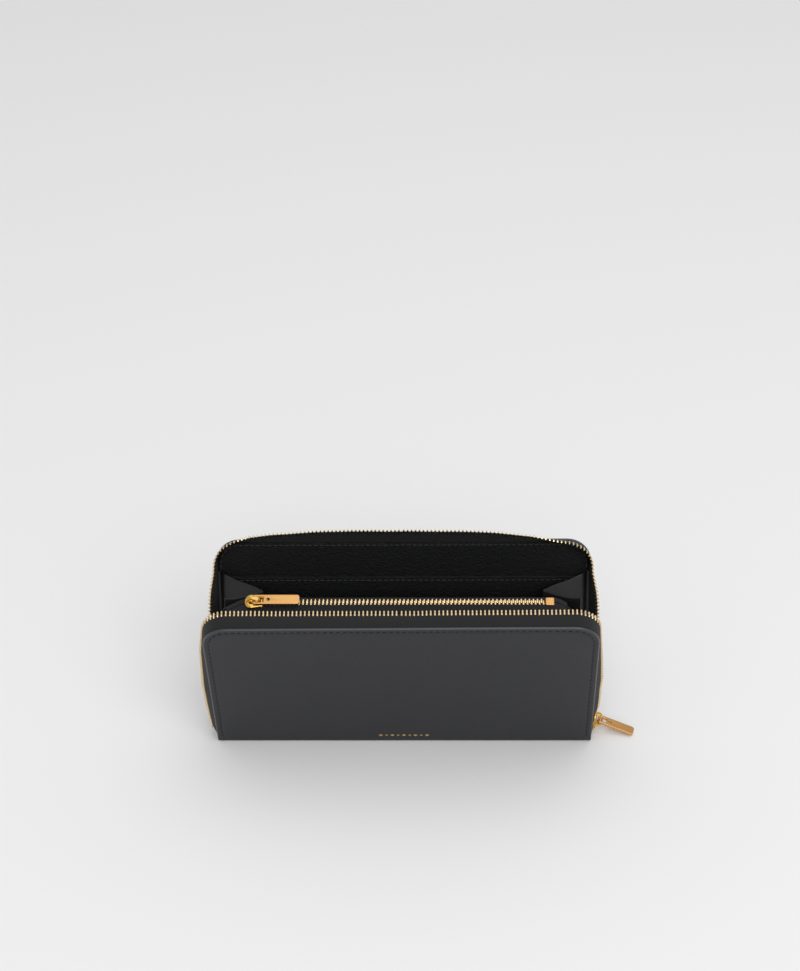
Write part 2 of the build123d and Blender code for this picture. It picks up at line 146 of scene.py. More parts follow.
def add_node(tree: bpy.types.NodeTree, kind: str, settings: dict | None = None,
             inputs: dict | None = None) -> bpy.types.Node:
    """Add one node, set its properties and fill or link its inputs.

    Args:
        tree: Node tree that gets the node.
        kind: Blender's type name of the node.
        settings: Node properties by name.
        inputs: Values or output sockets by input name or number.

    Returns:
        The new node.
    """
    node = tree.nodes.new(kind)
    for key, value in (settings or {}).items():
        setattr(node, key, value)
    for key, value in (inputs or {}).items():
        socket = node.inputs[key]
        if isinstance(value, bpy.types.NodeSocket):
            tree.links.new(value, socket)
        else:
            socket.default_value = value
    return node


def new_object(name: str, mesh: bpy.types.Mesh, finish: bpy.types.Material | None,
               sharp_angle: float = 40.0) -> bpy.types.Object:
    """Link a mesh as an object at the origin, with soft shading up to an angle.

    Args:
        name: Name of the piece.
        mesh: Finished mesh, in metres.
        finish: Material, or None to keep the mesh's own.
        sharp_angle: Edges bent more than this many degrees stay crisp.

    Returns:
        The linked object.
    """
    mesh.name = name
    if finish is not None:
        mesh.materials.clear()
        mesh.materials.append(finish)
    piece = bpy.data.objects.new(name, mesh)
    bpy.context.scene.collection.objects.link(piece)
    mesh.shade_smooth()
    if sharp_angle < 180:
        mesh.set_sharp_from_angle(angle=math.radians(sharp_angle))
    return piece


def mesh_from(points: Sequence[Point], faces: Sequence[Sequence[int]],
              uv: Sequence[tuple[float, float]] | None = None) -> bpy.types.Mesh:
    """Make a mesh in metres from points in millimetres, with doubles merged and normals outward.

    Args:
        points: Vertex places in millimetres.
        faces: Vertex numbers of each face.
        uv: Flat place of each vertex in millimetres, if the finish follows the surface.

    Returns:
        The new mesh.
    """
    mesh = bpy.data.meshes.new("piece")
    work = bmesh.new()
    verts = [work.verts.new((x * MM, y * MM, z * MM)) for x, y, z in points]
    layer = work.loops.layers.uv.new("UVMap") if uv else None
    for face in faces:
        if len(set(face)) < 3:
            continue
        made = work.faces.new([verts[i] for i in dict.fromkeys(face)])
        if layer is not None:
            for loop, i in zip(made.loops, dict.fromkeys(face)):
                loop[layer].uv = uv[i]
    bmesh.ops.remove_doubles(work, verts=work.verts, dist=1e-7)
    bmesh.ops.recalc_face_normals(work, faces=work.faces)
    work.to_mesh(mesh)
    work.free()
    return mesh


def skin(loops: Sequence[Sequence[Point]], closed: bool = True, capped: bool = True,
         uv: Sequence[Sequence[tuple[float, float]]] | None = None) -> bpy.types.Mesh:
    """Skin a run of equal loops of points, as a tube or strip.

    Args:
        loops: Cross sections, all with the same number of points.
        closed: Whether each section's last point joins its first.
        capped: Whether the first and last sections are filled.
        uv: Flat places in the same layout as loops.

    Returns:
        The new mesh.
    """
    size = len(loops[0])
    points = [p for loop in loops for p in loop]
    flat = [p for loop in uv for p in loop] if uv else None
    faces = []
    for i in range(len(loops) - 1):
        for j in range(size if closed else size - 1):
            k = (j + 1) % size
            faces.append((i * size + j, i * size + k, (i + 1) * size + k, (i + 1) * size + j))
    if capped:
        faces.append(tuple(range(size)))
        faces.append(tuple((len(loops) - 1) * size + j for j in range(size)))
    return mesh_from(points, faces, flat)


def round_rect(width: float, height: float, radius: float, steps: int = 3) -> list[tuple[float, float]]:
    """Outline of a rectangle with round corners, centred on the origin.

    Args:
        width: Full width.
        height: Full height.
        radius: Corner radius.
        steps: Segments in each corner.

    Returns:
        Points in order round the outline.
    """
    outline = []
    corners = ((1, 1, 0), (-1, 1, 90), (-1, -1, 180), (1, -1, 270))
    for sx, sy, start in corners:
        for i in range(steps + 1):
            turn = math.radians(start + 90 * i / steps)
            outline.append((sx * (width / 2 - radius) + radius * math.cos(turn),
                            sy * (height / 2 - radius) + radius * math.sin(turn)))
    return outline


def ride_and_stand_for(piece: bpy.types.Object, body: str, nodes: Iterable[str]) -> None:
    """Let a piece ride on a body in place of CAD nodes.

    Args:
        piece: The finished piece.
        body: CAD body it moves with.
        nodes: CAD nodes that it stands for.
    """
    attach(piece, body)
    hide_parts(*nodes)


# ---------------------------------------------------------------------------------------------
# Finishes


@dataclass(frozen=True)
class Finish:
    """Shared start of every finish: a named material with a Principled shader."""

    name: str

    def start(self) -> tuple[bpy.types.Material, bpy.types.NodeTree, bpy.types.Node]:
        """Make the empty material.

        Returns:
            The material, its node tree and its Principled shader.
        """
        material = bpy.data.materials.new(self.name)
        material.use_nodes = True
        tree = material.node_tree
        tree.nodes.clear()
        shader = add_node(tree, "ShaderNodeBsdfPrincipled")
        add_node(tree, "ShaderNodeOutputMaterial", inputs={"Surface": shader.outputs[0]})
        return material, tree, shader


@dataclass(frozen=True)
class GrainedLeather(Finish):
    """Chrome-tanned leather, dyed through and finished with a thin pigment coat.

    Fine pores and a pebbled grain break up the soft gloss of the coat.
    """

    colour: str = "26272A"
    worn: str = "3A3B3F"
    grain_mm: float = 0.6
    pebble_mm: float = 0.0
    relief: float = 0.05
    roughness: float = 0.46
    coat: float = 0.0
    specular: float = 0.5

    def build(self) -> bpy.types.Material:
        """Make the material."""
        material, tree, shader = self.start()
        place = add_node(tree, "ShaderNodeTexCoord").outputs["Object"]
        fine = add_node(tree, "ShaderNodeTexNoise", inputs={
            "Vector": place, "Scale": 1 / (self.grain_mm * MM), "Detail": 4.0, "Roughness": 0.6})
        cloudy = add_node(tree, "ShaderNodeTexNoise", inputs={
            "Vector": place, "Scale": 1 / (28 * MM), "Detail": 3.0})
        tint = add_node(tree, "ShaderNodeMix", {"data_type": "RGBA"}, {
            0: cloudy.outputs["Fac"], 6: linear_colour(self.colour), 7: linear_colour(self.worn)})
        tree.links.new(tint.outputs[2], shader.inputs["Base Color"])
        height = fine.outputs["Fac"]
        if self.pebble_mm:
            warp = add_node(tree, "ShaderNodeTexNoise", inputs={
                "Vector": place, "Scale": 1 / (self.pebble_mm * 1.6 * MM), "Detail": 2.0})
            pushed = add_node(tree, "ShaderNodeVectorMath", {"operation": "MULTIPLY_ADD"}, {
                0: warp.outputs["Color"], 1: (self.pebble_mm * MM,) * 3, 2: place})
            cells = add_node(tree, "ShaderNodeTexVoronoi", {"feature": "SMOOTH_F1"}, {
                "Vector": pushed.outputs[0], "Scale": 1 / (self.pebble_mm * MM), "Smoothness": 0.35})
            domes = add_node(tree, "ShaderNodeMath", {"operation": "MULTIPLY_ADD"}, {
                0: cells.outputs["Distance"], 1: -1.0, 2: 1.0})
            both = add_node(tree, "ShaderNodeMath", {"operation": "MULTIPLY_ADD"}, {
                0: fine.outputs["Fac"], 1: 0.25, 2: domes.outputs[0]})
            height = both.outputs[0]
        bump = add_node(tree, "ShaderNodeBump", inputs={
            "Strength": 1.0, "Distance": self.relief * MM, "Height": height})
        tree.links.new(bump.outputs[0], shader.inputs["Normal"])
        gloss = add_node(tree, "ShaderNodeMapRange", inputs={
            "Value": fine.outputs["Fac"], "To Min": self.roughness - 0.06, "To Max": self.roughness + 0.08})
        tree.links.new(gloss.outputs[0], shader.inputs["Roughness"])
        shader.inputs["Specular IOR Level"].default_value = self.specular
        shader.inputs["Coat Weight"].default_value = self.coat
        shader.inputs["Coat Roughness"].default_value = 0.35
        return material


@dataclass(frozen=True)
class WovenTape(Finish):
    """Polyester zip tape: a tight twill of matt black yarn with a faint sheen."""

    colour: str = "060607"
    light: str = "101113"
    yarn_mm: float = 0.45

    def build(self) -> bpy.types.Material:
        """Make the material. The yarns follow the piece's UV map, which is in millimetres."""
        material, tree, shader = self.start()
        flat = add_node(tree, "ShaderNodeUVMap", {"uv_map": "UVMap"}).outputs[0]
        turned = add_node(tree, "ShaderNodeMapping", inputs={
            "Vector": flat, "Rotation": (0.0, 0.0, math.radians(32))})
        waves = add_node(tree, "ShaderNodeTexWave", {"bands_direction": "X"}, {
            "Vector": turned.outputs[0], "Scale": math.pi / 10 / self.yarn_mm, "Distortion": 0.4})
        weft = add_node(tree, "ShaderNodeTexWave", {"bands_direction": "Y"}, {
            "Vector": flat, "Scale": math.pi / 10 / self.yarn_mm, "Distortion": 0.2})
        height = add_node(tree, "ShaderNodeMath", {"operation": "MULTIPLY_ADD"}, {
            0: weft.outputs["Fac"], 1: 0.5, 2: waves.outputs["Fac"]})
        tint = add_node(tree, "ShaderNodeMix", {"data_type": "RGBA"}, {
            0: waves.outputs["Fac"], 6: linear_colour(self.colour), 7: linear_colour(self.light)})
        tree.links.new(tint.outputs[2], shader.inputs["Base Color"])
        bump = add_node(tree, "ShaderNodeBump", inputs={
            "Strength": 1.0, "Distance": 0.08 * MM, "Height": height.outputs[0]})
        tree.links.new(bump.outputs[0], shader.inputs["Normal"])
        shader.inputs["Roughness"].default_value = 0.82
        shader.inputs["Sheen Weight"].default_value = 0.04
        return material


@dataclass(frozen=True)
class GoldPlate(Finish):
    """Pale gold plating over cast zinc or brass, polished, or brushed along one direction."""

    colour: str = "E9C48A"
    edge: str = "F6E2BE"
    roughness: float = 0.2
    brushed_along: tuple[float, float, float] | None = None

    def build(self) -> bpy.types.Material:
        """Make the material."""
        material, tree, shader = self.start()
        place = add_node(tree, "ShaderNodeTexCoord").outputs["Object"]
        stretch = (1.0, 1.0, 1.0)
        if self.brushed_along:
            stretch = tuple(0.04 if abs(v) > 0.5 else 1.0 for v in self.brushed_along)
        drawn = add_node(tree, "ShaderNodeMapping", {"vector_type": "POINT"}, {
            "Vector": place, "Scale": stretch})
        scratches = add_node(tree, "ShaderNodeTexNoise", inputs={
            "Vector": drawn.outputs[0], "Scale": 1 / (0.22 * MM), "Detail": 3.0, "Roughness": 0.7})
        tint = add_node(tree, "ShaderNodeMix", {"data_type": "RGBA"}, {
            0: scratches.outputs["Fac"], 6: linear_colour(self.colour), 7: linear_colour(self.edge)})
        tree.links.new(tint.outputs[2], shader.inputs["Base Color"])
        gloss = add_node(tree, "ShaderNodeMapRange", inputs={
            "Value": scratches.outputs["Fac"], "To Min": self.roughness * 0.75,
            "To Max": self.roughness * 1.35})
        tree.links.new(gloss.outputs[0], shader.inputs["Roughness"])
        bump = add_node(tree, "ShaderNodeBump", inputs={
            "Strength": 0.6 if self.brushed_along else 0.15, "Distance": 0.01 * MM,
            "Height": scratches.outputs["Fac"]})
        tree.links.new(bump.outputs[0], shader.inputs["Normal"])
        shader.inputs["Metallic"].default_value = 1.0
        return material


@dataclass(frozen=True)
class SewingThread(Finish):
    """Bonded nylon thread, two plies twisted, black with a soft gloss."""

    colour: str = "060607"
    light: str = "101012"

    def build(self) -> bpy.types.Material:
        """Make the material."""
        material, tree, shader = self.start()
        place = add_node(tree, "ShaderNodeTexCoord").outputs["Object"]
        twist = add_node(tree, "ShaderNodeTexWave", {"bands_direction": "DIAGONAL"}, {
            "Vector": place, "Scale": 0.3 / (0.4 * MM), "Distortion": 1.0})
        tint = add_node(tree, "ShaderNodeMix", {"data_type": "RGBA"}, {
            0: twist.outputs["Fac"], 6: linear_colour(self.colour), 7: linear_colour(self.light)})
        tree.links.new(tint.outputs[2], shader.inputs["Base Color"])
        bump = add_node(tree, "ShaderNodeBump", inputs={
            "Strength": 0.8, "Distance": 0.05 * MM, "Height": twist.outputs["Fac"]})
        tree.links.new(bump.outputs[0], shader.inputs["Normal"])
        shader.inputs["Roughness"].default_value = 0.5
        return material


@dataclass(frozen=True)
class BondedBoard(Finish):
    """Grey-brown bonded fibre board, pressed flat, with flecks of fibre."""

    colour: str = "6B6257"
    fleck: str = "8C8375"

    def build(self) -> bpy.types.Material:
        """Make the material."""
        material, tree, shader = self.start()
        place = add_node(tree, "ShaderNodeTexCoord").outputs["Object"]
        fibre = add_node(tree, "ShaderNodeTexNoise", inputs={
            "Vector": place, "Scale": 1 / (1.2 * MM), "Detail": 5.0})
        tint = add_node(tree, "ShaderNodeMix", {"data_type": "RGBA"}, {
            0: fibre.outputs["Fac"], 6: linear_colour(self.colour), 7: linear_colour(self.fleck)})
        tree.links.new(tint.outputs[2], shader.inputs["Base Color"])
        shader.inputs["Roughness"].default_value = 0.9
        return material


@dataclass(frozen=True)
class Finishes:
    """Every material of the wallet, made once."""

    calf: bpy.types.Material
    pebbled: bpy.types.Material
    nappa: bpy.types.Material
    tape: bpy.types.Material
    teeth: bpy.types.Material
    polished: bpy.types.Material
    satin: bpy.types.Material
    foil: bpy.types.Material
    thread: bpy.types.Material
    inner_thread: bpy.types.Material
    edge: bpy.types.Material
    board: bpy.types.Material

    @classmethod
    def make(cls) -> Finishes:
        """Build all the materials."""
        return cls(
            calf=GrainedLeather("smooth_calf_leather", "16171B", "1C1D21", 0.8, 0.0, 0.11, 0.48).build(),
            pebbled=GrainedLeather("pebbled_lining_leather", "030405", "050607", 0.4, 0.8, 0.26, 0.52,
                                  specular=0.2).build(),
            nappa=GrainedLeather("gusset_nappa_leather", "08090A", "0D0E10", 0.5, 0.0, 0.06, 0.5).build(),
            tape=WovenTape("woven_zip_tape").build(),
            teeth=GoldPlate("polished_gold_teeth", "EBC992", "FBEACB", 0.2).build(),
            polished=GoldPlate("polished_gold_slider", "D6A548", "E9C673", 0.12).build(),
            satin=GoldPlate("brushed_gold_pull", "D39E5E", "DDAE72", 0.34, (1.0, 0.0, 0.0)).build(),
            foil=GoldPlate("pressed_gold_foil", "C9A468", "D9BC86", 0.35).build(),
            thread=SewingThread("bonded_nylon_thread").build(),
            inner_thread=SewingThread("bonded_nylon_thread_grey", "26292C", "393D41").build(),
            # The edge coat is real edge paint in shape, but its grey is lighter than the calf as a painted
            # highlight along the rim.
            edge=GrainedLeather("leather_edge_coat_painted_highlight", "2B2D30", "343639", 0.7, 0.0, 0.03, 0.32, 0.3).build(),
            board=BondedBoard("bonded_board").build(),
        )


# ---------------------------------------------------------------------------------------------
# Shared shape of the covers


# How far the front cover's rim sags below the flat sheet, and how much it rises towards the right
FRONT_SAG = 1.1
FRONT_SKEW = 0.006


@dataclass(frozen=True)
class WalletShape:
    """Driving sizes, read from the CAD frame, and the surfaces that the soft pieces follow."""

    width: float
    height: float
    depth: float
    tilt: float
    corner: float = 12.0
    leather: float = 1.2
    fold: float = 2.2
    skew: float = 0.0
    inner_fold: float = 0.8

    @classmethod
    def from_frame(cls, joints: Sequence[dict]) -> WalletShape:
        """Read the sizes from the CAD nodes and the fold joint.

        Args:
            joints: The record's joints.

        Returns:
            The wallet's sizes in millimetres and degrees.
        """
        low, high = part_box("front_leather")
        spine_low, spine_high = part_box("spine_leather")
        fold = next(j for j in joints if j["name"] == "front_cover_fold")
        tilt = -fold["range_deg"][0]
        depth = (spine_high.y - spine_low.y) / MM
        reach = -low.y / MM - depth / 2
        return cls(
            width=(high.x - low.x) / MM,
            height=reach / math.sin(math.radians(tilt)),
            depth=depth,
            tilt=tilt,
        )

    def section(self, rise: float, inward: float) -> tuple[float, float]:
        """Point of a cover's bent section, for the back cover.

        Args:
            rise: Distance from the fold, up the cover when positive and along the spine when negative.
            inward: Distance inside the outer face.

        Returns:
            Y and Z in millimetres.
        """
        angle = math.radians(90 + self.tilt)
        reach = 1 / math.tan(angle / 2)
        radius = max(self.fold - inward, self.inner_fold)
        start = self.fold * reach
        tangent = (inward + radius) * reach
        sine, cosine = math.sin(math.radians(self.tilt)), math.cos(math.radians(self.tilt))
        half = self.depth / 2
        if rise >= start:
            up = rise + (tangent - start) * math.exp((start - rise) / 6)
            return (half + up * sine - inward * cosine, up * cosine + inward * sine)
        if rise <= -start:
            along = -rise + (tangent - start) * math.exp((rise + start) / 6)
            return (half - along, inward)
        share = (rise + start) / (2 * start)
        turn = math.radians(-90 + (180 - math.degrees(angle)) * share)
        centre = (half - tangent, inward + radius)
        return (centre[0] + radius * math.cos(turn), centre[1] + radius * math.sin(turn))

    def point(self, side: Side, across: float, rise: float, inward: float) -> Point:
        """Point on or inside a cover, in the CAD frame.

        Args:
            side: Which cover.
            across: Place along X.
            rise: Distance from the fold up the cover, negative along the spine.
            inward: Distance inside the outer face.

        Returns:
            X, Y and Z in millimetres.
        """
        y, z = self.section(rise * (1 + self.skew * across / (self.width / 2)) if rise > 0 else rise, inward)
        return (across, side.value * y, z)

    def axes(self, side: Side) -> tuple[Vector, Vector, Vector]:
        """Directions along X, up the cover and inward from its outer face."""
        sine, cosine = math.sin(math.radians(self.tilt)), math.cos(math.radians(self.tilt))
        return (Vector((1, 0, 0)), Vector((0, side.value * sine, cosine)),
                Vector((0, -side.value * cosine, sine)))

    def blend_cover(self, piece: bpy.types.Object, side: Side, start: tuple[float, float],
                    end: tuple[float, float]) -> None:
        """Bend a piece between the spine and a cover.

        Args:
            piece: The finished piece.
            side: Which cover.
            start: Distance from the wallet's middle and height up to which it follows the spine.
            end: The same, from where on it follows the cover.
        """
        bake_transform(piece, "spine", side.body,
                 start=(0, side.value * start[0] * MM, start[1] * MM),
                 end=(0, side.value * end[0] * MM, end[1] * MM))


@dataclass(frozen=True)
class RimPoint:
    """One station on a cover's rim: its place, its outward direction and its share of the way."""

    across: float
    rise: float
    out_x: float
    out_up: float
    share: float


def rim(shape: WalletShape, inset: float, foot: float, step: float) -> list[RimPoint]:
    """Stations round a cover's edge, up the right side, over the top and down the left side.

    Args:
        shape: The wallet's sizes.
        inset: Distance inside the edge.
        foot: Height where both ends stop.
        step: Spacing of the stations on the straight parts.

    Returns:
        The stations in order.
    """
    half = shape.width / 2
    top = shape.height - shape.corner
    turn_x = half - shape.corner
    radius = shape.corner - inset
    rise_steps = max(2, round((top - foot) / step))
    top_steps = max(2, round(2 * turn_x / step))
    arc_steps = max(6, round(math.pi / 2 * shape.corner / step))
    flat: list[tuple[float, float, float, float]] = []
    for i in range(rise_steps):
        flat.append((half - inset, foot + (top - foot) * i / rise_steps, 1.0, 0.0))
    for i in range(arc_steps):
        a = math.pi / 2 * i / arc_steps
        flat.append((turn_x + radius * math.cos(a), top + radius * math.sin(a), math.cos(a), math.sin(a)))
    for i in range(top_steps):
        flat.append((turn_x - 2 * turn_x * i / top_steps, shape.height - inset, 0.0, 1.0))
    for i in range(arc_steps):
        a = math.pi / 2 * (1 + i / arc_steps)
        flat.append((-turn_x + radius * math.cos(a), top + radius * math.sin(a), math.cos(a), math.sin(a)))
    for i in range(rise_steps + 1):
        flat.append((inset - half, top - (top - foot) * i / rise_steps, -1.0, 0.0))
    lengths = [0.0]
    for a, b in zip(flat, flat[1:]):
        lengths.append(lengths[-1] + math.hypot(b[0] - a[0], b[1] - a[1]))
    return [RimPoint(*p, d / lengths[-1]) for p, d in zip(flat, lengths)]


# ---------------------------------------------------------------------------------------------
# Rows of equal pieces, made by Geometry Nodes


@dataclass
class RowMaker:
    """Places copies of a small piece along a rail, upright on the rail's own direction."""

    name: str
    seed_piece: bpy.types.Object
    finish: bpy.types.Material
    spacing: float

    def tree(self) -> bpy.types.NodeTree:
        """Build the node tree: rail to curve, even points, one copy on each, real geometry out."""
        tree = bpy.data.node_groups.new(f"{self.name}_row", "GeometryNodeTree")
        sockets = tree.interface
        sockets.new_socket("Rail", in_out="INPUT", socket_type="NodeSocketGeometry")
        sockets.new_socket("Spacing", in_out="INPUT", socket_type="NodeSocketFloat")
        sockets.new_socket("Piece", in_out="INPUT", socket_type="NodeSocketObject")
        sockets.new_socket("Size", in_out="INPUT", socket_type="NodeSocketFloat")
        sockets.new_socket("Finish", in_out="INPUT", socket_type="NodeSocketMaterial")
        sockets.new_socket("Row", in_out="OUTPUT", socket_type="NodeSocketGeometry")
        given = add_node(tree, "NodeGroupInput")
        curve = add_node(tree, "GeometryNodeMeshToCurve", inputs={"Mesh": given.outputs["Rail"]})
        even = add_node(tree, "GeometryNodeResampleCurve", {"mode": "LENGTH"}, {
            "Curve": curve.outputs[0], "Length": given.outputs["Spacing"]})
        upright = add_node(tree, "GeometryNodeInputNamedAttribute", {"data_type": "FLOAT_VECTOR"},
                           {"Name": "upright"})
        along = add_node(tree, "GeometryNodeInputTangent")
        turned = add_node(tree, "FunctionNodeAxesToRotation", {"primary_axis": "Z", "secondary_axis": "X"},
                          {"Primary Axis": upright.outputs[0], "Secondary Axis": along.outputs[0]})
        piece = add_node(tree, "GeometryNodeObjectInfo", inputs={"Object": given.outputs["Piece"]})
        copies = add_node(tree, "GeometryNodeInstanceOnPoints", inputs={
            "Points": even.outputs[0], "Instance": piece.outputs["Geometry"],
            "Rotation": turned.outputs[0], "Scale": given.outputs["Size"]})
        real = add_node(tree, "GeometryNodeRealizeInstances", inputs={"Geometry": copies.outputs[0]})
        dressed = add_node(tree, "GeometryNodeSetMaterial", inputs={
            "Geometry": real.outputs[0], "Material": given.outputs["Finish"]})
        add_node(tree, "NodeGroupOutput", inputs={0: dressed.outputs[0]})
        return tree

    def make(self, rails: Sequence[Sequence[tuple[Point, Vector]]]) -> bpy.types.Object:
        """Make the row as one plain mesh object.

        Args:
            rails: Runs of places in millimetres, each with its upright direction.

        Returns:
            The finished row.
        """
        mesh = bpy.data.meshes.new(f"{self.name}_rail")
        places, edges, directions = [], [], []
        for rail in rails:
            edges += [(len(places) + i, len(places) + i + 1) for i in range(len(rail) - 1)]
            places += [Vector(p) * MM for p, _ in rail]
            directions += [v.normalized() for _, v in rail]
        mesh.from_pydata(places, edges, [])
        upright = mesh.attributes.new("upright", "FLOAT_VECTOR", "POINT")
        upright.data.foreach_set("vector", [c for v in directions for c in v])
        holder = bpy.data.objects.new(f"{self.name}_rail", mesh)
        bpy.context.scene.collection.objects.link(holder)
        tree = self.tree()
        modifier = holder.modifiers.new("row", "NODES")
        modifier.node_group = tree
        values = {"Spacing": self.spacing * MM, "Piece": self.seed_piece, "Size": 1.0, "Finish": self.finish}
        for item in tree.interface.items_tree:
            if item.item_type == "SOCKET" and item.in_out == "INPUT" and item.name in values:
                modifier[item.identifier] = values[item.name]
        bpy.context.view_layer.update()
        graph = bpy.context.evaluated_depsgraph_get()
        result = bpy.data.meshes.new_from_object(holder.evaluated_get(graph))
        bpy.data.objects.remove(holder)
        for old in [a.name for a in result.attributes if a.name == "upright"]:
            result.attributes.remove(result.attributes[old])
        return new_object(self.name, result, None)


def tooth_seed(finish: bpy.types.Material, length: float = 2.8) -> bpy.types.Object:
    """One cast tooth: legs that grip the tape at the root, a waist and a rounded head.

    Args:
        finish: Material of the tooth.
        length: Full length in millimetres.

    Returns:
        The seed piece, standing on the origin along +Z.
    """
    sections = ((-0.3, 0.64, 1.25), (0.0, 0.8, 1.55), (0.9, 0.82, 1.6), (1.35, 0.64, 1.3),
                (1.8, 0.84, 1.45), (2.45, 0.84, 1.4), (2.8, 0.5, 0.9))
    loops = []
    for z, width, thick in sections:
        loops.append([(x, y, z * length / 2.8) for x, y in round_rect(width, thick, 0.26, steps=1)])
    piece = new_object("tooth_seed", skin(loops), finish)
    return piece


def stitch_seed(finish: bpy.types.Material, length: float = 2.3, thick: float = 0.42) -> bpy.types.Object:
    """One stitch: a short plump run of thread that dives into the leather at both ends.

    Args:
        finish: Material of the thread.
        length: Visible length.
        thick: Thread thickness.

    Returns:
        The seed piece, lying along X with +Z out of the leather.
    """
    loops = []
    steps = 6
    for i in range(steps + 1):
        along = i / steps * 2 - 1
        lift = 0.5 * thick * (1 - along**4) - 0.28 * thick
        radius = thick / 2 * (1 - 0.45 * along**4)
        ring = []
        for j in range(6):
            turn = 2 * math.pi * j / 6
            ring.append((along * length / 2, radius * math.cos(turn), lift + radius * math.sin(turn)))
        loops.append(ring)
    return new_object("stitch_seed", skin(loops), finish)


# ---------------------------------------------------------------------------------------------
# Leaves: soft flat pieces with rounded edges


def spread(length: float, step: float, edge: float, low_edge: bool = True,
           high_edge: bool = True) -> list[float]:
    """Stations from 0 to a length, close together where an edge is rounded.

    Args:
        length: Distance to cover.
        step: Spacing away from the edges.
        edge: Radius of the rounded edges.
        low_edge: Whether the edge at 0 is rounded.
        high_edge: Whether the edge at the far end is rounded.

    Returns:
        Rising distances.
    """
    near = [0.0, 0.12 * edge, 0.45 * edge, edge]
    count = max(2, round((length - 2 * edge) / step))
    middle = [edge + (length - 2 * edge) * i / count for i in range(1, count)]
    low = near if low_edge else [0.0, edge]
    high = [length - d for d in reversed(near)] if high_edge else [length - edge, length]
    return low + middle + high


def edge_share(distance: float, edge: float) -> float:
    """Share of full thickness at a distance from a rounded edge."""
    inside = min(1.0, max(0.0, distance / edge))
    return math.sqrt(max(0.0, 1 - (1 - inside) ** 2))


def leaf(grid: Sequence[Sequence[Point]], thickness: float, flat: Sequence[Sequence[tuple[float, float]]],
         rounded: tuple[bool, bool, bool, bool] = (True, True, True, True)) -> bpy.types.Mesh:
    """Thicken a grid of points into a closed soft piece.

    Args:
        grid: Rows of places on the middle surface.
        thickness: Full thickness.
        flat: Flat place of each point, in the same layout; it gives edge distances and the UV map.
        rounded: Whether the low row, high row, low column and high column edges are rounded.

    Returns:
        The new mesh.
    """
    edge = thickness / 2
    rows, columns = len(grid), len(grid[0])
    middle = np.array(grid, float)
    along = np.gradient(middle, axis=0)
    across = np.gradient(middle, axis=1)
    normal = np.cross(along, across)
    normal /= np.maximum(np.linalg.norm(normal, axis=2, keepdims=True), 1e-12)
    points: list[Point] = []
    uv: list[tuple[float, float]] = []
    for sign in (1, -1):
        for i in range(rows):
            for j in range(columns):
                share = 1.0
                a, b = flat[i][j]
                if rounded[0]:
                    share = min(share, edge_share(abs(b - flat[0][j][1]), edge))
                if rounded[1]:
                    share = min(share, edge_share(abs(b - flat[-1][j][1]), edge))
                if rounded[2]:
                    share = min(share, edge_share(abs(a - flat[i][0][0]), edge))
                if rounded[3]:
                    share = min(share, edge_share(abs(a - flat[i][-1][0]), edge))
                place = middle[i, j] + sign * edge * share * normal[i, j]
                points.append(tuple(place))
                uv.append((a, b))
    size = rows * columns
    faces = []
    for i in range(rows - 1):
        for j in range(columns - 1):
            a, b = i * columns + j, i * columns + j + 1
            c, d = b + columns, a + columns
            faces.append((a, b, c, d))
            faces.append((size + a, size + d, size + c, size + b))
    rim_loop = ([(0, j) for j in range(columns)] + [(i, columns - 1) for i in range(1, rows)]
                + [(rows - 1, j) for j in range(columns - 2, -1, -1)] + [(i, 0) for i in range(rows - 2, 0, -1)])
    for (i, j), (k, m) in zip(rim_loop, rim_loop[1:] + rim_loop[:1]):
        a, b = i * columns + j, k * columns + m
        if (Vector(points[a]) - Vector(points[size + a])).length > 1e-4 or \
                (Vector(points[b]) - Vector(points[size + b])).length > 1e-4:
            faces.append((a, size + a, size + b, b))
    return mesh_from(points, faces, uv)


